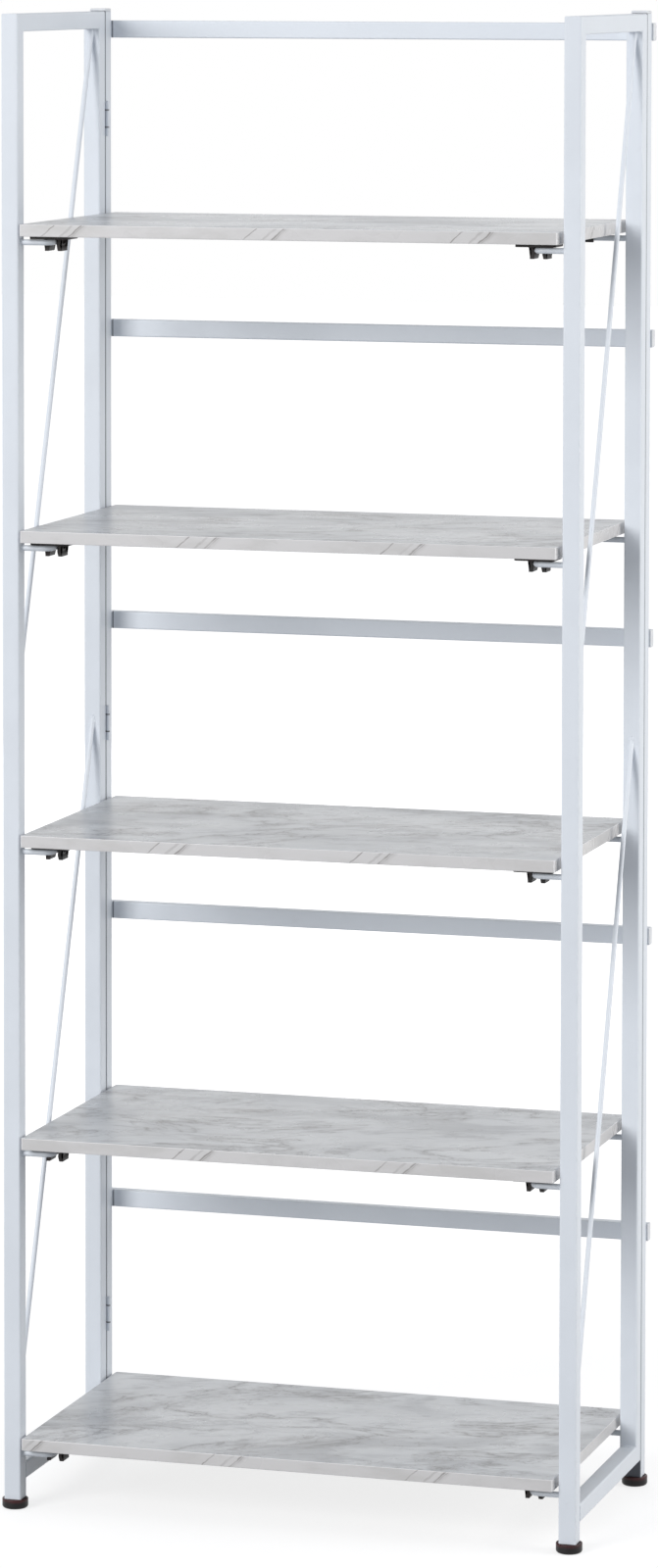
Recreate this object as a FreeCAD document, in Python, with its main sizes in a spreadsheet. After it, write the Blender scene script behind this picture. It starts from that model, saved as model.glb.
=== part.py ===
"""Folding bookcase: a tube back frame, two hinged side frames and five lift-out boards.

Frame of the model: +Z up, X across the width, -Y towards the person using it.
The origin is on the floor, in the middle of the whole object.  All sizes are in mm.
"""
import FreeCAD, Part
import Sketcher
import os
import re

doc = FreeCAD.newDocument("folding_bookcase")

# ---------------------------------------------------------------- driving sizes
SIZES = [
    # (alias, value, what it is)
    ("width", 600, "over the outer faces of the posts"),
    ("side_depth", 270, "side frame, front face to rear face"),
    ("top_level", 1520, "top faces of the tube frames"),
    ("tube", 18, "square tube, outer side"),
    ("tube_wall", 1.2, "wall of every tube"),
    ("tube_round", 2, "outer corner radius of the square tube"),
    ("bottom_bar_level", 28, "underside of the side frame's bottom bar"),
    ("foot_dia", 26.5, "foot disc"),
    ("foot_rise", 10, "floor to the post's lower end"),
    ("foot_round", 3, "lower rim of the foot"),
    ("foot_edge", 1, "upper rim of the foot"),
    ("plug_depth", 18, "how far a plug reaches into its tube"),
    ("plug_clear", 0.15, "play between a plug and the tube's inside"),
    ("post_cap_thick", 3, "cap on a back post, above the tube"),
    ("post_cap_round", 1.6, "upper rim of the post cap"),
    ("hinge_gap", 1.5, "between the side frame and the back post"),
    ("leaf_thick", 0.65, "hinge leaf"),
    ("leaf_reach", 16, "hinge leaf, from the pin outwards"),
    ("leaf_tall", 36, "hinge leaf, along the pin"),
    ("barrel_dia", 3.6, "hinge knuckles, outside"),
    ("barrel_clear", 0.2, "knuckle to the post's inner face and to the other leaf"),
    ("pin_dia", 2, "hinge pin"),
    ("pin_play", 0.04, "radial play of the turning knuckles on the pin"),
    ("pin_proud", 0.6, "pin end beyond the last knuckle"),
    ("hinge_low", 142, "middle of the lower hinge"),
    ("hinge_mid", 772, "middle of the middle hinge"),
    ("hinge_high", 1408, "middle of the upper hinge"),
    ("brace_dia", 5, "diagonal brace rod"),
    ("brace_upper_drop", 20, "upper brace's rear end below the frame's top"),
    ("brace_upper_front", 825, "upper brace on the front post"),
    ("brace_lower_rear", 774, "lower brace on the rear post"),
    ("brace_lower_front", 105, "lower brace on the front post"),
    ("crossbar_tall", 18, "crossbar tube, upright"),
    ("crossbar_deep", 12, "crossbar tube, front to back"),
    ("crossbar_round", 1.5, "outer corner radius of the crossbar tube"),
    ("crossbar_rise", 195.5, "crossbar's top above the board it backs"),
    ("top_crossbar_drop", 9.7, "top crossbar's top below the frame's top"),
    ("end_plug_thick", 1.8, "crossbar end plug, outside the tube"),
    ("end_plug_round", 1.2, "outer rim of the crossbar end plug"),
    ("shelf_first", 75.5, "top face of the lowest board"),
    ("shelf_pitch", 308.5, "from one board to the next"),
    ("board_thick", 12.4, "board"),
    ("board_front", 8.5, "board in front of the posts"),
    ("board_end_gap", 4, "board's end to the post"),
    ("board_round", 0.8, "arris of the board"),
    ("wire_dia", 5.9, "shelf wires"),
    ("wire_bend", 8, "bend of the front wire, on its centre line"),
    ("front_wire_reach", 30, "post to the middle of the wire's run"),
    ("front_wire_run", 42, "front wire, from the post's middle backwards"),
    ("rear_peg_reach", 55, "rear wire, post to its end"),
    ("wire_round", 1, "rounded ends of the wires"),
    ("seat_gap", 0.3, "clip to the wire under it"),
    ("clip_long", 41, "front clip plate, across the width"),
    ("clip_wide", 15, "front clip plate, front to back"),
    ("clip_thick", 3.2, "front clip plate"),
    ("clip_round", 3, "corners of a clip plate"),
    ("clip_setback", 22.5, "front clip's middle behind the post's middle"),
    ("prong_gap", 8, "between the prongs at the wire"),
    ("prong_thick", 2.4, "prong at the wire"),
    ("prong_splay", 2.6, "how far a prong leans out at the plate"),
    ("prong_waist", 9.6, "underside of the board to the prong's narrowest point"),
    ("prong_drop", 13, "underside of the board to the prong's tip"),
    ("prong_flare", 1.1, "prong's tip turned outwards"),
    ("prong_wide", 12, "prong, front to back"),
    ("rear_clip_long", 40, "rear clip plate, front to back"),
    ("rear_clip_wide", 11, "rear clip plate, across the width"),
    ("rear_clip_thick", 2.2, "rear clip plate"),
    ("rear_clip_in", 39.5, "rear clip's middle from the post's inner face"),
    ("hook_gap", 1, "rear clip's hook to the front of the wire"),
    ("hook_thick", 2.5, "rear clip's hook"),
    ("hook_drop", 10, "underside of the board to the hook's tip"),
    ("screw_dia", 3, "clip screws"),
    ("screw_head_dia", 5.6, "clip screw's head"),
    ("screw_head_tall", 1.3, "clip screw's head, countersunk"),
    ("screw_grip", 7, "clip screw in the board"),
    ("screw_tip", 1.5, "point of the clip screw"),
    ("screw_drive", 1.8, "square recess in the screw's head"),
    ("screw_drive_deep", 0.9, "depth of that recess"),
    ("screw_clear", 0.1, "play between a clip and its screw"),
    ("screw_edge", 5, "screw's middle to the end of its clip"),
]
SHELF_COUNT = 5

sheet = doc.addObject("Spreadsheet::Sheet", "sizes")
for row, (alias, value, note) in enumerate(SIZES, start=1):
    sheet.set(f"A{row}", note)
    sheet.set(f"B{row}", str(value))
    sheet.setAlias(f"B{row}", alias)
doc.recompute()

# Lengths that follow from the driving sizes, as formulas for the expressions below.
FORMULAS = {
    "overall_depth": "(board_front + side_depth + hinge_gap + tube + crossbar_deep)",
    "rear": "(overall_depth / 2 - crossbar_deep - tube - hinge_gap)",
    "front": "(rear - side_depth)",
    "inner": "(width / 2 - tube)",
    "post_x": "(width / 2 - tube / 2)",
    "front_post_y": "(front + tube / 2)",
    "rear_post_y": "(rear - tube / 2)",
    "back_post_y": "(rear + hinge_gap + tube / 2)",
    "crossbar_y": "(rear + hinge_gap + tube + crossbar_deep / 2)",
    "hinge_x": "(inner - barrel_dia / 2 - barrel_clear)",
    "hinge_y": "(rear + hinge_gap / 2)",
    "brace_upper_rear": "(top_level - brace_upper_drop)",
    "board_long": "(2 * inner - 2 * board_end_gap)",
    # A board reaches from in front of the posts back to the crossbars' front faces.
    "board_deep": "(board_front + side_depth + hinge_gap + tube)",
    "board_y": "(front - board_front + board_deep / 2)",
    "front_wire_drop": "(clip_thick + seat_gap + wire_dia / 2)",
    "rear_wire_drop": "(rear_clip_thick + seat_gap + wire_dia / 2)",
    "front_clip_x": "(inner - front_wire_reach)",
    "front_clip_y": "(front_post_y + clip_setback)",
    "rear_clip_x": "(inner - rear_clip_in)",
    "front_screw_off": "(clip_long / 2 - screw_edge)",
    "rear_screw_off": "(rear_clip_long / 2 - screw_edge)",
    "tube_inside": "(tube - 2 * tube_wall - 2 * plug_clear)",
    "between_posts": "(side_depth - 2 * tube)",
}
ALIASES = {alias for alias, _value, _note in SIZES}


def ex(text):
    """Write a formula in the document's expression language.

    Names of FORMULAS are replaced by their formula, and names of sheet cells
    get the sheet's name in front.
    """
    def replace(match):
        word = match.group(0)
        if word in FORMULAS:
            return ex(FORMULAS[word])
        return f"sizes.{word}" if word in ALIASES else word
    return re.sub(r"(?<![\w.])[a-z_]+[a-z_0-9]*", replace, str(text))


def bind(thing, **formulas):
    """Bind properties such as Length or Placement.Base.x (written Base_x) to formulas."""
    for name, text in formulas.items():
        thing.setExpression(name, ex(text))


def place(thing, x="0", y="0", z="0", axis=(0, 0, 1), turn=0):
    """Put an object at a place given by formulas, turned by a fixed angle about an axis."""
    thing.Placement = FreeCAD.Placement(FreeCAD.Vector(), FreeCAD.Rotation(FreeCAD.Vector(*axis), turn))
    for letter, text in zip("xyz", (x, y, z)):
        thing.setExpression(f"Placement.Base.{letter}", ex(text))
    return thing


# ---------------------------------------------------------------- building blocks
def new_body(name):
    """Start a PartDesign body."""
    return doc.addObject("PartDesign::Body", name)


def new_sketch(body, plane="XY_Plane", x="0", y="0", z="0"):
    """Attach a sketch to one of the body's own origin planes, moved by formulas in its own axes."""
    sketch = body.newObject("Sketcher::SketchObject", f"{body.Name}_sketch")
    for feature in body.Origin.OriginFeatures:
        if feature.Role == plane:
            sketch.AttachmentSupport = [(feature, "")]
    sketch.MapMode = "FlatFace"
    for letter, text in zip("xyz", (x, y, z)):
        sketch.setExpression(f"AttachmentOffset.Base.{letter}", ex(text))
    return sketch


def constrain(sketch, name, formula, *arguments):
    """Add one named dimension to a sketch and bind it to a formula."""
    index = sketch.addConstraint(Sketcher.Constraint(*arguments))
    sketch.renameConstraint(index, name)
    sketch.setExpression(f"Constraints.{name}", ex(formula))


def draw_rectangle(sketch, across, along):
    """Draw a rectangle centred on the sketch's origin."""
    corners = [FreeCAD.Vector(x, y, 0) for x, y in ((-5, -5), (5, -5), (5, 5), (-5, 5))]
    first = len(sketch.Geometry)
    for turn in range(4):
        sketch.addGeometry(Part.LineSegment(corners[turn], corners[(turn + 1) % 4]))
    for turn in range(4):
        sketch.addConstraint(Sketcher.Constraint(
            "Coincident", first + turn, 2, first + (turn + 1) % 4, 1))
        kind = "Horizontal" if turn % 2 == 0 else "Vertical"
        sketch.addConstraint(Sketcher.Constraint(kind, first + turn))
    sketch.addConstraint(Sketcher.Constraint("Symmetric", first, 1, first + 1, 2, -1, 1))
    constrain(sketch, "across", across, "Distance", first, 10.0)
    constrain(sketch, "along", along, "Distance", first + 1, 10.0)


def draw_disc(sketch, diameter):
    """Draw a circle on the sketch's origin."""
    circle = sketch.addGeometry(Part.Circle(FreeCAD.Vector(), FreeCAD.Vector(0, 0, 1), 5.0))
    sketch.addConstraint(Sketcher.Constraint("Coincident", circle, 3, -1, 1))
    constrain(sketch, "diameter", diameter, "Diameter", circle, 10.0)


def draw_polygon(sketch, corners):
    """Draw a closed polygon; each corner is a pair of formulas, both 0 or more."""
    start = [FreeCAD.Vector(3 + index, 2 + (index * index) % 7, 0) for index in range(len(corners))]
    count = len(corners)
    for index in range(count):
        sketch.addGeometry(Part.LineSegment(start[index], start[(index + 1) % count]))
    for index in range(count):
        sketch.addConstraint(Sketcher.Constraint("Coincident", index, 2, (index + 1) % count, 1))
    for index, (across, up) in enumerate(corners):
        for kind, formula, tag in (("DistanceX", across, "x"), ("DistanceY", up, "y")):
            if formula == "0":
                axis = -2 if tag == "x" else -1
                sketch.addConstraint(Sketcher.Constraint("PointOnObject", index, 1, axis))
            else:
                constrain(sketch, f"{tag}{index}", formula, kind, -1, 1, index, 1, 5.0)


def draw_corner(sketch, leg, right, up):
    """Draw a right triangle with equal legs whose square corner is the sketch's origin."""
    tip_x = FreeCAD.Vector(5 * right, 0, 0)
    tip_y = FreeCAD.Vector(0, 5 * up, 0)
    sketch.addGeometry(Part.LineSegment(FreeCAD.Vector(), tip_x))
    sketch.addGeometry(Part.LineSegment(tip_x, tip_y))
    sketch.addGeometry(Part.LineSegment(tip_y, FreeCAD.Vector()))
    for index in range(3):
        sketch.addConstraint(Sketcher.Constraint("Coincident", index, 2, (index + 1) % 3, 1))
    sketch.addConstraint(Sketcher.Constraint("Coincident", 0, 1, -1, 1))
    sketch.addConstraint(Sketcher.Constraint("Horizontal", 0))
    sketch.addConstraint(Sketcher.Constraint("Vertical", 2))
    constrain(sketch, "leg_across", leg, "Distance", 0, 5.0)
    constrain(sketch, "leg_up", leg, "Distance", 2, 5.0)


def add_pad(body, sketch, length, reverse=False):
    """Pad a sketch."""
    pad = body.newObject("PartDesign::Pad", f"{body.Name}_pad")
    pad.Profile = sketch
    pad.Reversed = reverse
    bind(pad, Length=length)
    return pad


def add_pocket(body, sketch, length=None, reverse=False):
    """Cut a sketch out of the body, through all of it both ways if no length is given."""
    pocket = body.newObject("PartDesign::Pocket", f"{body.Name}_pocket")
    pocket.Profile = sketch
    pocket.Reversed = reverse
    if length is None:
        pocket.Type = "ThroughAll"
        pocket.Midplane = True
    else:
        bind(pocket, Length=length)
    before = pocket.BaseFeature.Shape.Volume if pocket.BaseFeature else 0
    doc.recompute()
    if before and pocket.Shape.Volume >= before:
        raise RuntimeError(f"{pocket.Name} cuts nothing")
    return pocket


def round_edges(body, radius, wanted):
    """Fillet the edges of the body's tip for which wanted(edge) is true."""
    doc.recompute()
    tip = body.Tip
    names = [f"Edge{number}" for number, edge in enumerate(tip.Shape.Edges, start=1) if wanted(edge)]
    if not names:
        raise RuntimeError(f"{body.Name} has no such edge")
    fillet = body.newObject("PartDesign::Fillet", f"{body.Name}_fillet")
    fillet.Base = (tip, names)
    bind(fillet, Radius=radius)
    doc.recompute()
    return fillet


def is_upright(edge):
    """True for a straight edge along the body's own Z."""
    box = edge.BoundBox
    return box.ZLength > 0.01 and box.XLength < 0.01 and box.YLength < 0.01


def is_level_at(level):
    """Make a test for edges that lie flat at one height of the body."""
    def test(edge):
        box = edge.BoundBox
        return box.ZLength < 0.01 and abs(box.ZMin - level) < 0.01
    return test


def size(name):
    """The present value of one sheet cell, for picking edges and counting copies."""
    return float(getattr(sheet, name))


def box(name, lengths, x="0", y="0", z="0"):
    """A block that starts at x, y, z."""
    block = doc.addObject("Part::Box", name)
    bind(block, Length=lengths[0], Width=lengths[1], Height=lengths[2])
    return place(block, x, y, z)


def cylinder(name, diameter, height, x="0", y="0", z="0", axis=(0, 0, 1), turn=0):
    """A cylinder that starts at x, y, z."""
    rod = doc.addObject("Part::Cylinder", name)
    bind(rod, Radius=f"({diameter}) / 2", Height=height)
    return place(rod, x, y, z, axis, turn)


def fused(name, things):
    """One solid from several."""
    joined = doc.addObject("Part::MultiFuse", name)
    joined.Shapes = things
    return joined


def cut(name, base, tool):
    """One thing less another."""
    rest = doc.addObject("Part::Cut", name)
    rest.Base = base
    rest.Tool = tool
    return rest


def common(name, base, tool):
    """What two things share."""
    shared = doc.addObject("Part::Common", name)
    shared.Base = base
    shared.Tool = tool
    return shared


def group(name, things):
    """Several separate solids of one kind, in one node."""
    together = doc.addObject("Part::Compound", name)
    together.Links = things
    return together


def copy_of(name, source, x="0", y="0", z="0", axis=(0, 0, 1), turn=0):
    """A linked copy of a finished piece, at another place."""
    link = doc.addObject("App::Link", name)
    link.LinkedObject = source
    link.LinkTransform = True
    return place(link, x, y, z, axis, turn)


def mirrored(name, source):
    """The same thing on the other side of the bookcase."""
    image = doc.addObject("Part::Mirroring", name)
    image.Source = source
    image.Normal = (1, 0, 0)
    image.Base = (0, 0, 0)
    return image


NODES = []


def node(thing, name):
    """Name a finished sub-part; the name is also its file's name."""
    thing.Label = name
    NODES.append(thing)
    return thing


def shelf_top(index):
    """Formula for the top face of a board, counted from 0 at the bottom."""
    return f"(shelf_first + {index} * shelf_pitch)"


def shelf_under(index):
    """Formula for the underside of a board."""
    return f"({shelf_top(index)} - board_thick)"


# ---------------------------------------------------------------- tubes
def make_tube(name, length, across="tube", along="tube", radius="tube_round"):
    """A rectangular tube along the body's Z, centred on it, with rounded corners."""
    body = new_body(name)
    outline = new_sketch(body)
    draw_rectangle(outline, across, along)
    add_pad(body, outline, length)
    round_edges(body, radius, is_upright)
    hollow = new_sketch(body)
    draw_rectangle(hollow, f"{across} - 2 * tube_wall", f"{along} - 2 * tube_wall")
    doc.recompute()
    add_pocket(body, hollow)
    return body


def mitre(body, length, far, side):
    """Cut a tube's end at 45 degrees.

    far picks the end at the given length, and side the face (+1 or -1 along the
    body's own Y) that the cut shortens.
    """
    corner = new_sketch(body, "YZ_Plane", x=f"{side} * tube / 2", y=length if far else "0")
    draw_corner(corner, "tube", -side, -1 if far else 1)
    doc.recompute()
    add_pocket(body, corner)


# ---------------------------------------------------------------- side frame, right hand side
ALONG_Y = {"axis": (1, 0, 0), "turn": -90}     # turns a body's Z to +Y and its Y to -Z
INWARDS = {"axis": (0, 1, 0), "turn": -90}     # turns a cylinder's Z to -X


def make_front_post():
    """Front post: stands on its foot, mitred at the top."""
    length = "(top_level - foot_rise)"
    post = make_tube("front_post", length)
    mitre(post, length, far=True, side=1)
    return place(post, "post_x", "front_post_y", "foot_rise")


def make_rear_post():
    """Rear post: mitred into the top bar and into the bottom bar."""
    length = "(top_level - bottom_bar_level)"
    post = make_tube("rear_post", length)
    mitre(post, length, far=True, side=-1)
    mitre(post, length, far=False, side=-1)
    return place(post, "post_x", "rear_post_y", "bottom_bar_level")


def make_top_bar():
    """Top bar: mitred at both ends."""
    bar = make_tube("top_bar", "side_depth")
    mitre(bar, "side_depth", far=False, side=1)
    mitre(bar, "side_depth", far=True, side=1)
    return place(bar, "post_x", "front", "top_level - tube / 2", **ALONG_Y)


def make_bottom_bar():
    """Bottom bar: square against the front post, mitred into the rear post."""
    length = "(side_depth - tube)"
    bar = make_tube("bottom_bar", length)
    mitre(bar, length, far=True, side=-1)
    return place(bar, "post_x", "front + tube", "bottom_bar_level + tube / 2", **ALONG_Y)


def make_brace(name, rear_level, front_level):
    """A slanted rod in the middle of the side frame, trimmed to the tubes it is welded to."""
    drop = f"({rear_level} - {front_level})"
    lean = f"(between_posts / {drop})"
    rod = cylinder(f"{name}_rod", "brace_dia", f"2 * {drop}", x="post_x",
                   y=f"rear - tube + tube * {lean}", z=f"{rear_level} + tube", axis=(1, 0, 0))
    rod.setExpression("Placement.Rotation.Angle", ex(f"180 deg - atan({lean})"))
    window = box(f"{name}_window", ("tube", "between_posts", "top_level - bottom_bar_level - 2 * tube"),
                 x="inner", y="front + tube", z="bottom_bar_level + tube")
    return common(name, rod, window)


def make_front_wire():
    """Shelf wire of the front post: inwards, round a bend, then straight back."""
    body = new_body("front_wire")
    route = new_sketch(body)
    vector = FreeCAD.Vector
    route.addGeometry(Part.LineSegment(vector(0, 0, 0), vector(20, 0, 0)))
    route.addGeometry(Part.ArcOfCircle(
        Part.Circle(vector(20, 8, 0), vector(0, 0, 1), 8), -1.5707963, 0.0))
    route.addGeometry(Part.LineSegment(vector(28, 8, 0), vector(28, 40, 0)))
    route.addConstraint(Sketcher.Constraint("Coincident", 0, 1, -1, 1))
    route.addConstraint(Sketcher.Constraint("Horizontal", 0))
    route.addConstraint(Sketcher.Constraint("Vertical", 2))
    route.addConstraint(Sketcher.Constraint("Tangent", 0, 2, 1, 1))
    route.addConstraint(Sketcher.Constraint("Tangent", 1, 2, 2, 1))
    constrain(route, "bend", "wire_bend", "Radius", 1, 8.0)
    constrain(route, "reach", "front_wire_reach", "DistanceX", -1, 1, 2, 1, 28.0)
    constrain(route, "run", "front_wire_run", "DistanceY", -1, 1, 2, 2, 40.0)
    section = new_sketch(body, "YZ_Plane")
    draw_disc(section, "wire_dia")
    doc.recompute()
    pipe = body.newObject("PartDesign::AdditivePipe", "front_wire_pipe")
    pipe.Profile = section
    pipe.Spine = (route, ["Edge1", "Edge2", "Edge3"])
    run = size("front_wire_run")
    round_edges(body, "wire_round", lambda edge: abs(edge.BoundBox.YMin - run) < 0.01)
    return body


def make_rear_peg():
    """Shelf wire of the rear post: a straight peg with a rounded end."""
    body = new_body("rear_peg")
    section = new_sketch(body)
    draw_disc(section, "wire_dia")
    add_pad(body, section, "rear_peg_reach")
    doc.recompute()
    round_edges(body, "wire_round", is_level_at(size("rear_peg_reach")))
    return body


def make_foot():
    """Foot: a round pad under the post, with a square stem up its inside."""
    body = new_body("foot_pattern")
    disc = new_sketch(body)
    draw_disc(disc, "foot_dia")
    add_pad(body, disc, "foot_rise")
    round_edges(body, "foot_round", is_level_at(0))
    round_edges(body, "foot_edge", is_level_at(size("foot_rise")))
    stem = new_sketch(body, z="foot_rise")
    draw_rectangle(stem, "tube_inside", "tube_inside")
    add_pad(body, stem, "plug_depth")
    return body


def make_leaf(name, thick_from, knuckles):
    """A hinge leaf with its knuckles, round the pin at the origin.

    thick_from is where the leaf's thickness starts in Y, and knuckles lists
    the (low, high) formulas of the stretches of the pin that it wraps.
    """
    parts = [box(f"{name}_plate", ("leaf_reach - barrel_dia / 2 - barrel_clear", "leaf_thick", "leaf_tall"),
                 x="barrel_dia / 2 + barrel_clear", y=thick_from, z="-leaf_tall / 2")]
    for index, (low, high) in enumerate(knuckles):
        parts.append(box(f"{name}_neck{index}",
                         ("barrel_dia / 2 + barrel_clear", "leaf_thick", f"({high}) - ({low})"),
                         y=thick_from, z=low))
        parts.append(cylinder(f"{name}_knuckle{index}", "barrel_dia", f"({high}) - ({low})", z=low))
    return fused(f"{name}_blank", parts)


def make_hinge():
    """One right-hand hinge at the origin: side leaf, back leaf and pin."""
    rear_of_frame = "-hinge_gap / 2"
    front_of_back = "hinge_gap / 2 - leaf_thick"
    split = "leaf_tall / 4"
    play = "barrel_clear / 2"
    outer = [("-leaf_tall / 2", f"-{split} - {play}"), (f"{split} + {play}", "leaf_tall / 2")]
    inner = [(f"-{split} + {play}", f"{split} - {play}")]
    side_bore = cylinder("side_bore", "pin_dia + 2 * pin_play", "2 * leaf_tall", z="-leaf_tall")
    back_bore = cylinder("back_bore", "pin_dia", "2 * leaf_tall", z="-leaf_tall")
    side_leaf = cut("side_leaf", make_leaf("side_leaf", rear_of_frame, outer), side_bore)
    back_leaf = cut("back_leaf", make_leaf("back_leaf", front_of_back, inner), back_bore)
    pin = cylinder("hinge_pin", "pin_dia", "leaf_tall + 2 * pin_proud", z="-leaf_tall / 2 - pin_proud")
    return side_leaf, back_leaf, pin


HINGE_LEVELS = ("hinge_low", "hinge_mid", "hinge_high")
side_leaf, back_leaf, hinge_pin = make_hinge()
front_wire = make_front_wire()
rear_peg = make_rear_peg()
foot_pattern = make_foot()


def at_hinges(name, source):
    """Copies of one hinge piece at the three hinges of the right-hand side."""
    return group(name, [copy_of(f"{name}_{level}", source, "hinge_x", "hinge_y", level)
                        for level in HINGE_LEVELS])


def at_shelves(name, source, x, y, drop, **turning):
    """Copies of one piece at every board, a drop below its underside."""
    return group(name, [copy_of(f"{name}_{index}", source, x, y, f"{shelf_under(index)} - {drop}", **turning)
                        for index in range(SHELF_COUNT)])


right_side = {
    "front_post": make_front_post(),
    "rear_post": make_rear_post(),
    "top_bar": make_top_bar(),
    "bottom_bar": make_bottom_bar(),
    "brace_upper": make_brace("brace_upper", "brace_upper_rear", "brace_upper_front"),
    "brace_lower": make_brace("brace_lower", "brace_lower_rear", "brace_lower_front"),
    # The wire's own X points inwards here and its own Y backwards.
    "front_wires": mirrored("front_wires", at_shelves(
        "front_wire_copies", front_wire, "-inner", "front_post_y", "front_wire_drop")),
    "rear_pegs": at_shelves("rear_pegs", rear_peg, "inner", "rear_post_y", "rear_wire_drop", **INWARDS),
    "front_foot": group("front_foot_group", [
        copy_of("front_foot", foot_pattern, "post_x", "front_post_y")]),
    "side_hinge_leaves": at_hinges("side_hinge_leaves", side_leaf),
    "back_hinge_leaves": at_hinges("back_hinge_leaves", back_leaf),
    "hinge_pins": at_hinges("hinge_pins", hinge_pin),
}
for piece, thing in right_side.items():
    node(thing, f"{piece}_right")
    node(mirrored(f"{piece}_image", thing), f"{piece}_left")


# ---------------------------------------------------------------- back frame
def make_post_cap():
    """Cap of a back post: a rounded plate on the tube, with a stem down its inside."""
    body = new_body("post_cap")
    plate = new_sketch(body)
    draw_rectangle(plate, "tube", "tube")
    add_pad(body, plate, "post_cap_thick")
    round_edges(body, "tube_round", is_upright)
    round_edges(body, "post_cap_round", is_level_at(size("post_cap_thick")))
    stem = new_sketch(body)
    draw_rectangle(stem, "tube_inside", "tube_inside")
    add_pad(body, stem, "plug_depth", reverse=True)
    return body


def make_end_plug():
    """Plug of a crossbar's end, along its own Z: a rounded plate with a stem."""
    body = new_body("end_plug")
    plate = new_sketch(body)
    draw_rectangle(plate, "crossbar_deep", "crossbar_tall")
    add_pad(body, plate, "end_plug_thick")
    round_edges(body, "crossbar_round", is_upright)
    round_edges(body, "end_plug_round", is_level_at(size("end_plug_thick")))
    stem = new_sketch(body)
    draw_rectangle(stem, "crossbar_deep - 2 * tube_wall - 2 * plug_clear",
                   "crossbar_tall - 2 * tube_wall - 2 * plug_clear")
    add_pad(body, stem, "plug_depth", reverse=True)
    return body


def crossbar_level(index):
    """Formula for the middle of a crossbar, counted from 0 at the bottom."""
    if index == SHELF_COUNT - 1:
        return "(top_level - top_crossbar_drop - crossbar_tall / 2)"
    return f"({shelf_top(index)} + crossbar_rise - crossbar_tall / 2)"


post_length = "(top_level - foot_rise)"
back_post = place(make_tube("back_post", post_length), "post_x", "back_post_y", "foot_rise")
node(back_post, "back_post_right")
node(mirrored("back_post_image", back_post), "back_post_left")

ACROSS = {"axis": (0, 1, 0), "turn": 90}       # turns a body's Z to +X and its X to -Z
for number in range(SHELF_COUNT):
    crossbar = make_tube(f"crossbar_{number + 1}", "width", "crossbar_tall", "crossbar_deep", "crossbar_round")
    place(crossbar, "-width / 2", "crossbar_y", crossbar_level(number), **ACROSS)
    node(crossbar, f"crossbar_{number + 1}")

end_plug = make_end_plug()
# The plug's own X is the crossbar's depth, so it is turned twice: its Z to +X, its X to +Y.
PLUG_TURN = {"axis": (1, 1, 1), "turn": 120}
right_plugs = group("right_plugs", [
    copy_of(f"end_plug_{number}", end_plug, "width / 2", "crossbar_y", crossbar_level(number), **PLUG_TURN)
    for number in range(SHELF_COUNT)])
node(group("end_plugs", [right_plugs, mirrored("left_plugs", right_plugs)]), "crossbar_end_plugs")

right_cap = group("right_cap", [copy_of("post_cap_copy", make_post_cap(), "post_x", "back_post_y", "top_level")])
node(group("caps", [right_cap, mirrored("left_cap", right_cap)]), "back_post_caps")

right_foot = group("right_foot", [copy_of("rear_foot_copy", foot_pattern, "post_x", "back_post_y")])
node(group("feet", [right_foot, mirrored("left_foot", right_foot)]), "rear_feet")


# ---------------------------------------------------------------- boards, clips and screws
def make_screw():
    """Countersunk clip screw along its own Z, its point at the origin."""
    body = new_body("clip_screw")
    profile = new_sketch(body, "XZ_Plane")
    length = "(clip_thick + screw_grip)"
    draw_polygon(profile, [
        ("0", "0"),
        ("screw_dia / 2", "screw_tip"),
        ("screw_dia / 2", f"{length} - screw_head_tall"),
        ("screw_head_dia / 2", length),
        ("0", length),
    ])
    turned = body.newObject("PartDesign::Revolution", "clip_screw_turned")
    turned.Profile = profile
    turned.ReferenceAxis = (profile, ["V_Axis"])
    turned.Angle = 360
    doc.recompute()
    recess = new_sketch(body, z=length)
    draw_rectangle(recess, "screw_drive", "screw_drive")
    doc.recompute()
    add_pocket(body, recess, "screw_drive_deep")
    return body


def screw_hole(name, x, y, thick):
    """The countersunk hole of a clip: its own Z points down, away from the board."""
    shaft = cylinder(f"{name}_shaft", "screw_dia + 2 * screw_clear", f"{thick} + 2 * screw_clear",
                     x=x, y=y, z="-screw_clear")
    sink = doc.addObject("Part::Cone", f"{name}_sink")
    bind(sink, Radius1="screw_dia / 2", Radius2="screw_head_dia / 2 + screw_clear",
         Height="screw_head_tall + screw_clear")
    place(sink, x, y, f"{thick} - screw_head_tall")
    return [shaft, sink]


def make_clip_plate(name, long, wide, thick):
    """A clip's plate in its own frame: Z points down from the board's underside."""
    body = new_body(name)
    outline = new_sketch(body)
    draw_rectangle(outline, long, wide)
    add_pad(body, outline, thick)
    round_edges(body, "clip_round", is_upright)
    return body


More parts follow.
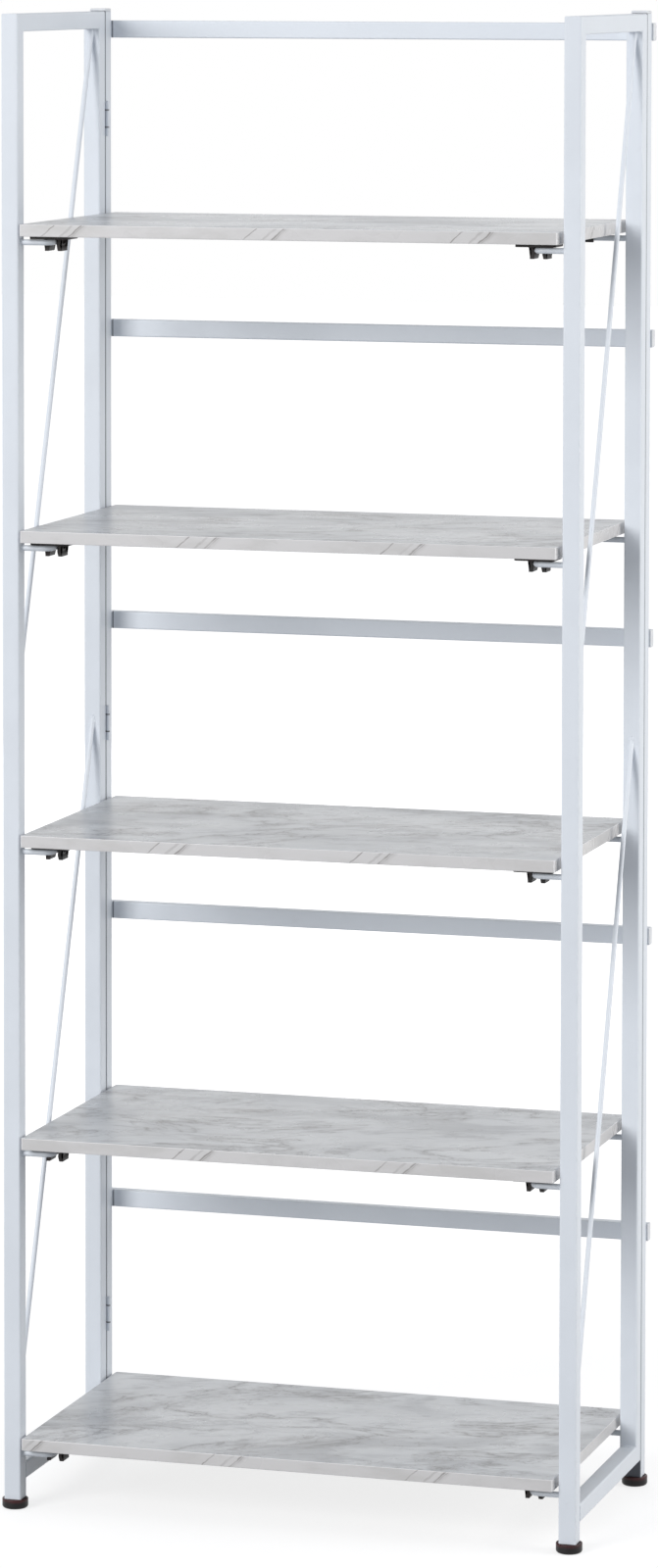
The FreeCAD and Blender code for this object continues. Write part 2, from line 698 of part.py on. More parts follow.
def make_front_clip():
    """Front clip: a plate with two prongs that straddle the front wire."""
    plate = make_clip_plate("front_clip_plate", "clip_long", "clip_wide", "clip_thick")
    prong = new_body("front_prong")
    # The sketch's Y is the clip's Z, so it grows downwards from the board.
    profile = new_sketch(prong, "XZ_Plane")
    near = "prong_gap / 2"
    far = "prong_gap / 2 + prong_thick"
    draw_polygon(profile, [
        (f"{near} + prong_splay", "clip_thick / 2"),
        (near, "prong_waist"),
        (f"{near} + prong_flare / 2", "prong_drop"),
        (f"{far} + prong_flare", "prong_drop"),
        (far, "prong_waist"),
        (f"{far} + prong_splay", "clip_thick / 2"),
    ])
    pad = add_pad(prong, profile, "prong_wide")
    pad.Midplane = True
    doc.recompute()
    twin = mirrored("front_prong_twin", prong)
    holes = screw_hole("front_hole_a", "front_screw_off", "0", "clip_thick")
    holes += screw_hole("front_hole_b", "-front_screw_off", "0", "clip_thick")
    return cut("front_clip", fused("front_clip_blank", [plate, prong, twin]), fused("front_holes", holes))


def make_rear_clip():
    """Rear clip: a plate with one hook in front of the rear wire."""
    plate = make_clip_plate("rear_clip_plate", "rear_clip_wide", "rear_clip_long", "rear_clip_thick")
    # The clip is turned over when it is placed, so its own +Y is the front.
    hook = box("rear_hook", ("rear_clip_wide", "hook_thick", "hook_drop"),
               x="-rear_clip_wide / 2", y="wire_dia / 2 + hook_gap")
    holes = screw_hole("rear_hole_a", "0", "rear_screw_off", "rear_clip_thick")
    holes += screw_hole("rear_hole_b", "0", "-rear_screw_off", "rear_clip_thick")
    return cut("rear_clip", fused("rear_clip_blank", [plate, hook]), fused("rear_holes", holes))


TURNED_OVER = {"axis": (1, 0, 0), "turn": 180}
front_clip = make_front_clip()
rear_clip = make_rear_clip()
clip_screw = make_screw()

# Where the screws sit, as (x, y, underside of their clip below the board).
SCREW_PLACES = [(f"{side} * front_clip_x {off} front_screw_off", "front_clip_y", "clip_thick")
                for side in (1, -1) for off in ("+", "-")]
SCREW_PLACES += [(f"{side} * rear_clip_x", f"rear_post_y {off} rear_screw_off", "rear_clip_thick")
                 for side in (1, -1) for off in ("+", "-")]
SCREW_LENGTH = "(clip_thick + screw_grip)"


def make_board(number, under):
    """One board with its screw holes, its rounded arrises and its underside at a given level."""
    body = new_body(f"board_body_{number}")
    outline = new_sketch(body)
    draw_rectangle(outline, "board_long", "board_deep")
    add_pad(body, outline, "board_thick")
    round_edges(body, "board_round", lambda edge: True)
    place(body, "0", "board_y", under)
    holes = []
    for index, (x, y, thick) in enumerate(SCREW_PLACES):
        depth = f"{SCREW_LENGTH} - {thick}"
        holes.append(cylinder(f"pilot_{number}_{index}", "screw_dia", depth, x, y, under))
    return cut(f"board_{number}", body, fused(f"pilots_{number}", holes))


for number in range(1, SHELF_COUNT + 1):
    under = shelf_under(number - 1)
    node(make_board(number, under), f"shelf_{number}_board")
    node(group(f"front_clips_{number}", [
        copy_of(f"front_clip_{number}_{side}", front_clip, f"{sign} * front_clip_x", "front_clip_y", under,
                **TURNED_OVER) for side, sign in (("right", 1), ("left", -1))]), f"shelf_{number}_front_clips")
    node(group(f"rear_clips_{number}", [
        copy_of(f"rear_clip_{number}_{side}", rear_clip, f"{sign} * rear_clip_x", "rear_post_y", under,
                **TURNED_OVER) for side, sign in (("right", 1), ("left", -1))]), f"shelf_{number}_rear_clips")
    # A screw's head is flush with its clip, and its point is up in the board.
    node(group(f"screws_{number}", [
        copy_of(f"screw_{number}_{index}", clip_screw, x, y, f"{under} - {thick} + {SCREW_LENGTH}",
                **TURNED_OVER) for index, (x, y, thick) in enumerate(SCREW_PLACES)]),
        f"shelf_{number}_screws")


# ---------------------------------------------------------------- checks and export
doc.recompute()
failed = [thing.Name for thing in doc.Objects if {"Invalid", "Error"} & set(thing.State)]
if failed:
    raise RuntimeError(f"failed objects: {failed}")
for thing in NODES:
    if thing.Shape.isNull() or not thing.Shape.isValid() or not thing.Shape.Solids:
        raise RuntimeError(f"{thing.Label} has no valid solid")
    if any(solid.Volume <= 0 for solid in thing.Shape.Solids):
        raise RuntimeError(f"{thing.Label} has a solid that is inside out")

os.makedirs("parts", exist_ok=True)
for thing in NODES:
    thing.Shape.exportStep(f"parts/{thing.Label}.step")
print(f"{len(NODES)} nodes, {sum(len(thing.Shape.Solids) for thing in NODES)} solids")
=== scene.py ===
"""Looks of a folding bookcase: five marbled boards hung in a powder-coated tube frame."""
import logging
import math
from dataclasses import dataclass
from enum import Enum
from typing import ClassVar, Sequence, Union

import bmesh
import bpy
import numpy as np
from mathutils import Matrix, Vector


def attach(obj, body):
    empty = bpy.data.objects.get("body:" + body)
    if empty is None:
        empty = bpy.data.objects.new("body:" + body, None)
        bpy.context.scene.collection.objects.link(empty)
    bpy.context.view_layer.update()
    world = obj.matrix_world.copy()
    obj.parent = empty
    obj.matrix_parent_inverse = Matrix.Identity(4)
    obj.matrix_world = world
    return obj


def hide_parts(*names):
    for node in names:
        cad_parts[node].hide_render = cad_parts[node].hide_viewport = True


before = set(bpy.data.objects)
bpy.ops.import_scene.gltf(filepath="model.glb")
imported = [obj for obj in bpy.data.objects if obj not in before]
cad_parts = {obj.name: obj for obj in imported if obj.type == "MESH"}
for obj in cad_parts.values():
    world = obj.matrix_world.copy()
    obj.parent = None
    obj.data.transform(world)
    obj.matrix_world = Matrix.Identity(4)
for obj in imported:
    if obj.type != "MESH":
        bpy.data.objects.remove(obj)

logging.basicConfig(level=logging.INFO, format="%(message)s")
LOG = logging.getLogger("bookcase")
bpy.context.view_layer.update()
MM = 0.001
FULL_TURN = 2 * math.pi
MERGE = 1e-7  # corners closer than this become one
GUARD_WIDE = 0.3  # a guard ring beside a rounded edge, in radii of the edge
GUARD_ROOM = 2.2  # a thin plate's height over the room that an edge and its guard get
OUTWARD = ((0, 1, 0), (0, 0, 1), (1, 0, 0))  # directions of a piece whose upright axis runs along X

# Lengths are in metres and colours in display values from 0 to 255, where nothing else is said.
Material = bpy.types.Material
Socket = bpy.types.NodeSocket
Outputs = bpy.types.NodeOutputs
Number2 = tuple[float, float]
Number3 = tuple[float, float, float]
Fed = Union[Socket, float, Sequence[float]]


class Side(Enum):
    """The two sides of the bookcase, by the sign of X."""

    LEFT = -1
    RIGHT = 1

    @property
    def word(self) -> str:
        """The side's name, as it stands at the end of node names."""
        return self.name.lower()

    @property
    def body(self) -> str:
        """The body that the side frame of this side is."""
        return f"side_frame_{self.word}"


class Slot(Enum):
    """Names of the material slots for the bookcase's finishes, which this script does not use."""

    FRAME = "frame"
    BOARD = "board"
    CLIP = "clip_plastic"
    FOOT = "foot_plastic"
    PLUG = "white_plastic"


# ---------------------------------------------------------------- surfaces
@dataclass
class Shell:
    """One closed surface."""

    points: np.ndarray  # its corners, one row of X, Y and Z each
    faces: list[tuple[int, ...]]  # its faces, as numbers of corners

    def placed(self, origin: Number3 = (0, 0, 0), across: Number3 = (1, 0, 0),
               along: Number3 = (0, 1, 0), upward: Number3 = (0, 0, 1)) -> "Shell":
        """The surface with each point (u, v, w) at origin + u across + v along + w upward."""
        turn = np.array([across, along, upward], float)
        return Shell(self.points @ turn + np.array(origin, float), self.faces)

    def mirrored(self) -> "Shell":
        """The same surface on the other side of the middle plane X = 0."""
        return Shell(self.points * (-1, 1, 1), [face[::-1] for face in self.faces])


def both_sides(shells: Sequence[Shell]) -> list[Shell]:
    """Surfaces of the right-hand side, and after them their mirror images."""
    return [*shells, *(shell.mirrored() for shell in shells)]


def ring_shell(rings: np.ndarray, closed: bool = False) -> Shell:
    """Join rings of points into a closed surface.

    The surface is P(i, j) = rings[i, j], where j runs round a ring. The faces
    between ring i and ring i + 1 are the quads of all j at once. The first and
    last ring are covered by a face each, or joined where the rings close.

    Args:
        rings: the points, of shape (rings, points in a ring, 3).
        closed: whether the last ring joins the first one.

    Returns:
        The surface.
    """
    count, around = rings.shape[:2]
    number = np.arange(count * around).reshape(count, around)
    low = number if closed else number[:-1]
    high = np.roll(number, -1, 0) if closed else number[1:]
    quads = np.stack([low, np.roll(low, -1, 1), np.roll(high, -1, 1), high], -1).reshape(-1, 4)
    faces = [tuple(quad) for quad in quads.tolist()]
    if not closed:
        faces += [tuple(number[0, ::-1].tolist()), tuple(number[-1].tolist())]
    return Shell(rings.reshape(-1, 3), faces)


def rounded_outline(corners: Sequence[Sequence[float]], reach: float, steps: int) -> np.ndarray:
    """A closed outline with rounded corners.

    Round each corner C the outline is a circular arc from A to B, which lie at
    the given reach from C on its two edges: the weighted mean of A, C and B
    with the weights (1 - s)^2, 2 s (1 - s) k and s^2, where s runs from 0 to 1
    and k is the cosine of half the corner's turn.

    Args:
        corners: the corners in counter-clockwise order.
        reach: how far from a corner its rounding starts.
        steps: how many points each rounding has.

    Returns:
        The outline's points, of shape (points, 2).
    """
    corner = np.array(corners, float)
    ahead = np.roll(corner, -1, 0) - corner
    ahead /= np.linalg.norm(ahead, axis=1, keepdims=True)
    behind = np.roll(ahead, 1, 0)
    start, end = corner - reach * behind, corner + reach * ahead
    half = np.sqrt((1 + (ahead * behind).sum(1)) / 2)[:, None, None]
    s = np.linspace(0, 1, steps)[None, :, None]
    first, middle, last = (1 - s) ** 2, 2 * s * (1 - s) * half, s ** 2
    arcs = first * start[:, None] + middle * corner[:, None] + last * end[:, None]
    return (arcs / (first + middle + last)).reshape(-1, 2)


def rounded_rectangle(wide: float, deep: float, reach: float, steps: int) -> np.ndarray:
    """The outline of a rectangle about zero with rounded corners, counter-clockwise."""
    corners = [(-wide / 2, -deep / 2), (wide / 2, -deep / 2), (wide / 2, deep / 2), (-wide / 2, deep / 2)]
    return rounded_outline(corners, reach, steps)


def inset(outline: np.ndarray, by: float) -> np.ndarray:
    """Move a closed outline inwards.

    Each point goes along the sum of the inward normals of its two edges, as
    far as leaves both edges moved by the same distance.

    Args:
        outline: points in counter-clockwise order.
        by: the distance.

    Returns:
        The moved points.
    """
    ahead = np.roll(outline, -1, 0) - outline
    ahead /= np.linalg.norm(ahead, axis=1, keepdims=True)
    normal = np.stack([-ahead[:, 1], ahead[:, 0]], 1)
    both = normal + np.roll(normal, 1, 0)
    return outline + by * 2 * both / (both ** 2).sum(1, keepdims=True)


def prism(outline: np.ndarray, low: float, high: float, arris: float, steps: int = 4) -> Shell:
    """A plate of any outline with rounded edges.

    The surface is P(a, j): outline point j moved inwards by arris (1 - sin a)
    and lifted by arris (1 - cos a) from the lower face, and the same upside
    down at the upper face, where a runs over a quarter turn. A guard ring
    beside each rounding keeps the flat faces flat.

    Args:
        outline: the plate's outline.
        low: level of the lower face.
        high: level of the upper face.
        arris: radius of the rounded edges.
        steps: how many rings each rounding has.

    Returns:
        The plate, upright along its third direction.
    """
    turn = np.linspace(0, math.pi / 2, steps)
    inward, lift = arris * (1 - np.sin(turn)), arris * (1 - np.cos(turn))
    guard = min(arris * GUARD_WIDE, (high - low) / GUARD_ROOM - arris)
    insets = [arris + guard, *inward, 0, 0, *inward[::-1], arris + guard]
    levels = [low, *(low + lift), low + arris + guard, high - arris - guard, *(high - lift)[::-1], high]
    rings = [inset(outline, by) for by in insets]
    return ring_shell(np.stack([np.column_stack([ring, np.full(len(ring), level)])
                                for ring, level in zip(rings, levels)]))


def lathe(profile: Sequence[Sequence[float]], around: int) -> Shell:
    """A turned body.

    The surface is P(i, t) = (r_i cos t, r_i sin t, z_i), with t over a full turn.

    Args:
        profile: radius and level of each ring, from the bottom up.
        around: points in a ring.

    Returns:
        The body, upright along its third direction.
    """
    radius, level = np.array(profile, float).T[:, :, None]
    turn = np.linspace(0, FULL_TURN, around, endpoint=False)[None]
    return ring_shell(np.stack([radius * np.cos(turn), radius * np.sin(turn), level + 0 * turn], -1))


def weld_ring(rod: float, bead: float, stretch: float = 1, ripples: int = 9, wave: float = 0.14,
              out: float = 0.2, flat: float = 0.8) -> Shell:
    """The weld round a rod where it meets a face.

    The surface is a ring of section radius b(t) = bead (1 + wave sin(ripples t)),
    P(t, p) = ((R + b cos p) cos t, stretch (R + b cos p) sin t, flat b sin p),
    with R = rod + out bead and both t and p over a full turn.

    Args:
        rod: radius of the rod.
        bead: radius of the bead's section.
        stretch: how many times longer than wide the ring is.
        ripples: waves in the bead.
        wave: how high they are.
        out: how far the section's middle lies outside the rod.
        flat: how high the section is for its width.

    Returns:
        The ring in the plane of its first two directions.
    """
    turn = np.linspace(0, FULL_TURN, 72, endpoint=False)[:, None]
    section = np.linspace(0, FULL_TURN, 10, endpoint=False)[None]
    size = bead * (1 + wave * np.sin(ripples * turn))
    radius = rod + out * bead + size * np.cos(section)
    return ring_shell(np.stack([radius * np.cos(turn), stretch * radius * np.sin(turn),
                                flat * size * np.sin(section)], -1), closed=True)


def weld_seam(long: float, bead: float, pitch: float, wave: float = 0.12, tip: float = 1.0004) -> Shell:
    """A weld seam in an inner corner.

    The surface is P(s, p) = (long s / 2, b cos p, b sin p), with s from -1 to 1,
    p over a full turn, and b(s) = bead sqrt(tip - s^4) (1 + wave r), where
    r = abs(sin(pi s long / (2 pitch))) is a ripple for each of the welder's drops.

    Args:
        long: length of the seam.
        bead: radius of its section.
        pitch: length of one ripple.
        wave: how high a ripple is.
        tip: a little over 1, so that the ends keep some width.

    Returns:
        The seam along its first direction, with its middle at zero.
    """
    s = np.linspace(-1, 1, 49)[:, None]
    section = np.linspace(0, FULL_TURN, 12, endpoint=False)[None]
    ends = np.sqrt(np.clip(tip - s ** 4, 0, None))
    size = bead * ends * (1 + wave * np.abs(np.sin(math.pi * s * long / 2 / pitch)))
    along = s * (long / 2) + 0 * section
    return ring_shell(np.stack([along, size * np.cos(section), size * np.sin(section)], -1))


# ---------------------------------------------------------------- node trees
def linear(red: float, green: float, blue: float) -> tuple[float, float, float, float]:
    """A colour as the shaders want it."""
    share = np.array([red, green, blue]) / 255
    straight = np.where(share <= 0.04045, share / 12.92, ((share + 0.055) / 1.055) ** 2.4)
    return (*straight.tolist(), 1.0)


@dataclass
class Tree:
    """A node tree of a material, a world or a group that is being filled."""

    tree: bpy.types.NodeTree

    def feed(self, socket: Socket, value: Fed) -> None:
        """Give a socket its value, or link it to another socket."""
        if isinstance(value, Socket):
            self.tree.links.new(value, socket)
        else:
            socket.default_value = value

    def node(self, kind: str, inputs: dict[Union[str, int], Fed] | None = None,
             **settings) -> bpy.types.Node:
        """Add a node.

        Args:
            kind: its type, without the ShaderNode in front.
            inputs: what goes into its sockets, by name or number.
            settings: its own properties.

        Returns:
            The node.
        """
        made = self.tree.nodes.new("ShaderNode" + kind)
        for key, value in settings.items():
            setattr(made, key, value)
        for key, value in (inputs or {}).items():
            self.feed(made.inputs[key], value)
        return made

    def group(self, group: bpy.types.NodeTree, **inputs: Fed) -> Outputs:
        """Add a node group with its inputs, for its outputs."""
        return self.node("Group", inputs, node_tree=group).outputs

    def math(self, operation: str, first: Fed, second: Fed = 0.0, third: Fed = 0.0) -> Socket:
        """The result of a Math node."""
        return self.node("Math", {0: first, 1: second, 2: third}, operation=operation).outputs[0]

    def times(self, first: Fed, *others: Fed) -> Socket:
        """The product of all values."""
        for other in others:
            first = self.math("MULTIPLY", first, other)
        return first

    def away(self, value: Fed, centre: Fed) -> Socket:
        """The distance of a value from a centre."""
        return self.math("ABSOLUTE", self.math("SUBTRACT", value, centre))

    def spread(self, value: Fed, low: float, high: float, to_low: float = 0, to_high: float = 1) -> Socket:
        """Map a value smoothly from one range to another, held at its ends."""
        inputs = {"Value": value, "From Min": low, "From Max": high, "To Min": to_low, "To Max": to_high}
        return self.node("MapRange", inputs, interpolation_type="SMOOTHSTEP").outputs[0]

    def near(self, value: Fed, centre: Fed, core: float, end: float, depth: float = 1) -> Socket:
        """The depth up to core away from a centre, which fades to 0 at the end."""
        return self.spread(self.away(value, centre), core, end, depth, 0)

    def mix(self, first: Fed, second: Fed, share: Fed) -> Socket:
        """Mix two colours, each a socket or display values."""
        first, second = (one if isinstance(one, Socket) else linear(*one) for one in (first, second))
        return self.node("Mix", {0: share, 6: first, 7: second}, data_type="RGBA").outputs[2]

    def noise(self, at: Socket, scale: Fed, detail: float, rough: float = 0.5, warp: Fed = 0) -> Socket:
        """The value of a noise texture."""
        return self.node("TexNoise", {"Vector": at, "Scale": scale, "Detail": detail,
                                      "Roughness": rough, "Distortion": warp}).outputs["Fac"]

    def stretched(self, at: Socket, scale: Number3, turn: Number3 = (0, 0, 0),
                  shift: Number3 = (0, 0, 0)) -> Socket:
        """Coordinates turned (in degrees), stretched and shifted by a Mapping node."""
        return self.node("Mapping", {"Vector": at, "Location": shift, "Scale": scale,
                                     "Rotation": [math.radians(angle) for angle in turn]}).outputs[0]

    def place(self) -> Socket:
        """The object coordinates, which are metres in the bookcase's frame."""
        return self.node("TexCoord").outputs["Object"]

    def parts(self, vector: Socket) -> Outputs:
        """The X, Y and Z of a vector."""
        return self.node("SeparateXYZ", {0: vector}).outputs

    def facing(self) -> Outputs:
        """How far a face looks along X, Y and Z, from -1 to 1."""
        return self.parts(self.node("NewGeometry").outputs["True Normal"])


def group_tree(name: str, numbers: Sequence[str],
               outputs: Sequence[str]) -> tuple[Tree, dict[str, Socket], dict[str, Socket]]:
    """Start a shader node group that takes a Vector and some numbers.

    Args:
        name: the group's name.
        numbers: names of the numbers.
        outputs: names of the values it puts out.

    Returns:
        Its tree, and by name the sockets that bring its inputs and take its outputs.
    """
    group = bpy.data.node_groups.new(name, "ShaderNodeTree")
    group.interface.new_socket(name="Vector", in_out="INPUT", socket_type="NodeSocketVector")
    for way, labels in (("INPUT", numbers), ("OUTPUT", outputs)):
        for label in labels:
            group.interface.new_socket(name=label, in_out=way, socket_type="NodeSocketFloat")
    inner = group.nodes.new("NodeGroupInput").outputs
    outer = group.nodes.new("NodeGroupOutput").inputs
    return Tree(group), {s.name: s for s in inner if s.name}, {s.name: s for s in outer if s.name}


class Effects:
    """The effects that several finishes share, as node groups built once."""

    def __init__(self) -> None:
        """Build the groups."""
        self.grain = self._grain()
        self.veins = self._veins()
        self.dust = self._dust()
        self.scuffs = self._scuffs()

    @staticmethod
    def _grain() -> bpy.types.NodeTree:
        """Fine unevenness of a sprayed or moulded surface: a height and a slow mottle."""
        tree, given, out = group_tree("surface_grain", ["Fineness", "Slowness"], ["Height", "Mottle"])
        fine = tree.noise(given["Vector"], given["Fineness"], 2)
        pits = tree.node("TexVoronoi", {"Vector": given["Vector"], "Scale": given["Fineness"]},
                         feature="SMOOTH_F1").outputs["Distance"]
        pit_depth = -0.45
        tree.feed(out["Height"], tree.math("MULTIPLY_ADD", pits, pit_depth, fine))
        tree.feed(out["Mottle"], tree.noise(given["Vector"], given["Slowness"], 4, 0.6))
        return tree.tree

    @staticmethod
    def _veins() -> bpy.types.NodeTree:
        """Thin broken lines where a warped noise crosses its middle, and the haze round them."""
        tree, given, out = group_tree("stone_veins", ["Scale", "Width", "Warp"], ["Line", "Haze"])
        away = tree.away(tree.noise(given["Vector"], given["Scale"], 7, 0.62, given["Warp"]), 0.5)
        haze_width = tree.times(given["Width"], 5.0)
        for label, width in (("Line", given["Width"]), ("Haze", haze_width)):
            depth = tree.math("SUBTRACT", 1.0, tree.math("DIVIDE", away, width))
            tree.feed(out[label], tree.math("MAXIMUM", depth, 0.0))
        return tree.tree

    @staticmethod
    def _dust() -> bpy.types.NodeTree:
        """A thin uneven film of dust that lies on faces that look up."""
        tree, given, out = group_tree("settled_dust", ["Amount"], ["Mask"])
        upward = tree.spread(tree.facing()["Z"], 0.3, 1.0)
        patches = tree.spread(tree.noise(given["Vector"], 22.0, 6, 0.65), 0.35, 0.75)
        specks = tree.spread(tree.noise(given["Vector"], 1400.0, 1), 0.66, 0.78)
        both = tree.math("MAXIMUM", patches, specks)
        tree.feed(out["Mask"], tree.times(upward, both, given["Amount"]))
        return tree.tree

    @staticmethod
    def _scuffs() -> bpy.types.NodeTree:
        """Faint short rub marks, long in one direction."""
        tree, given, out = group_tree("rub_marks", ["Scale", "Amount"], ["Mask"])
        drawn = tree.stretched(given["Vector"], (1, 0.12, 1), (24, 0, 31))
        strokes = tree.spread(tree.noise(drawn, given["Scale"], 5, 0.7), 0.6, 0.72)
        where = tree.spread(tree.noise(given["Vector"], 9.0, 2), 0.45, 0.65)
        tree.feed(out["Mask"], tree.times(strokes, where, given["Amount"]))
        return tree.tree


EFFECTS = Effects()


# ---------------------------------------------------------------- finishes
def new_material(name: str, colour: Number3) -> tuple[Material, Tree, bpy.types.Node]:
    """Start a material with its shader.

    Args:
        name: the material's name.
        colour: what a plain view shows it as.

    Returns:
        The material, its tree and its Principled shader.
    """
    material = bpy.data.materials.new(name)
    material.use_nodes = True
    material.diffuse_color = linear(*colour)
    return material, Tree(material.node_tree), material.node_tree.nodes["Principled BSDF"]


@dataclass(frozen=True)
class Wear:
    """How fine, rubbed, dusty and rough a surface is."""

    grain: Number2  # fineness of the grain and slowness of the mottle, as scales of noise
    rubs: Number2  # fineness and amount of the rub marks
    rough: Number2  # lowest and highest roughness
    rough_over: Number2  # the values of the mottle between which the roughness rises
    rub_rough: float  # what a rub mark adds to the roughness
    bump: Number2  # strength and depth of the grain
    dust: float = 0


class Coating:
    """A material under way, with the grain, rub marks and dust that it wears."""

    def __init__(self, name: str, colour: Number3, wear: Wear) -> None:
        """Start the material.

        Args:
            name: its name.
            colour: what a plain view shows it as.
            wear: how fine, rubbed, dusty and rough it is.
        """
        self.material, self.tree, self.shader = new_material(name, colour)
        self.wear = wear
        self.at = self.tree.place()
        self.grain = self.tree.group(EFFECTS.grain, Vector=self.at, Fineness=wear.grain[0],
                                     Slowness=wear.grain[1])
        self.rubs = self.tree.group(EFFECTS.scuffs, Vector=self.at, Scale=wear.rubs[0],
                                    Amount=wear.rubs[1])["Mask"]

    def mottled(self, first: Number3, second: Number3, low: float, high: float) -> Socket:
        """Drift from one colour to another with the mottle."""
        return self.tree.mix(first, second, self.tree.spread(self.grain["Mottle"], low, high))

    def rubbed(self, colour: Socket, pale: Number3, share: float) -> Socket:
        """Lay the rub marks over a colour."""
        return self.tree.mix(colour, pale, self.tree.times(self.rubs, share))

    def dusted(self, colour: Socket, dust: Number3) -> Socket:
        """Lay the dust over a colour."""
        mask = self.tree.group(EFFECTS.dust, Vector=self.at, Amount=self.wear.dust)["Mask"]
        return self.tree.mix(colour, dust, mask)

    def done(self, colour: Socket, rough_by: Socket | None = None, height: Socket | None = None) -> Material:
        """Give the shader its colour, roughness and bump.

        Args:
            colour: the colour.
            rough_by: what the roughness follows, if not the mottle.
            height: what the bump follows, if not the grain.

        Returns:
            The material.
        """
        tree, wear = self.tree, self.wear
        rough = tree.math("ADD", tree.spread(rough_by or self.grain["Mottle"], *wear.rough_over, *wear.rough),
                          tree.times(self.rubs, wear.rub_rough))
        bump = tree.node("Bump", {"Height": height or self.grain["Height"], "Strength": wear.bump[0],
                                  "Distance": wear.bump[1]})
        for name, value in (("Base Color", colour), ("Roughness", rough), ("Normal", bump.outputs[0])):
            tree.feed(self.shader.inputs[name], value)
        return self.material


@dataclass(frozen=True)
class PowderCoat:
    """Sprayed and baked paint on steel tube: orange peel, slow mottle, rub marks and a little dust."""

    name: str = "powder_coat"
    gaps: tuple[float, ...] = ()  # levels at which two knuckles meet, where painted shade darkens the gap between them
    # The paint where it is thin and where it is full.
    paint: tuple[Number3, Number3] = ((222, 228, 236), (226, 232, 240))
    rubbed: Number3 = (205, 208, 213)
    dust: Number3 = (214, 213, 209)
    # Painted shade in the gaps between hinge knuckles.
    knuckle_gap_shade: Number3 = (52, 55, 62)
    # Painted shade in the slits between tubes, where little light reaches.
    slit_shade: Number3 = (56, 62, 74)
    post_seam: float = 0.12425  # Y of the slit between side frame and back frame
    bar_seam: Number2 = (0.2809, 0.143)  # X and Y of the corner at which a crossbar leaves its post
    wear: Wear = Wear((620.0, 11.0), (55.0, 0.35), (0.37, 0.48), (0.25, 0.75), 0.25, (0.10, 0.0006), 0.22)

    def _seams(self, tree: Tree, place: Outputs) -> Socket:
        """How deep in a slit between two tubes a point lies: the mask of the painted shade where little light
        gets.
        """
        across, along = self.bar_seam
        slit = tree.near(place["Y"], self.post_seam, 0.0009, 0.0020, 0.95)
        corner = tree.times(tree.near(tree.math("ABSOLUTE", place["X"]), across, 0.0002, 0.0010, 0.85),
                            tree.near(place["Y"], along, 0.0012, 0.0022))
        return tree.math("MAXIMUM", slit, corner)

    def material(self) -> Material:
        """The paint's material, with painted shade in its knuckle gaps if it has any and in the slits between
        tubes if not.
        """
        coating = Coating(self.name, self.paint[1], self.wear)
        tree, place = coating.tree, coating.tree.parts(coating.at)
        colour = coating.rubbed(coating.mottled(*self.paint, 0.3, 0.62), self.rubbed, 0.45)
        colour = coating.dusted(colour, self.dust)
        # Painted shade darkens the gaps where two knuckles meet.
        for gap in self.gaps:
            colour = tree.mix(colour, self.knuckle_gap_shade, tree.near(place["Z"], gap, 0.0003, 0.0011, 0.9))
        # Painted shade darkens the slit between side frame and back frame, and the corner where a crossbar
        # leaves its post.
        if not self.gaps:
            colour = tree.mix(colour, self.slit_shade, self._seams(tree, place))
        return coating.done(colour)


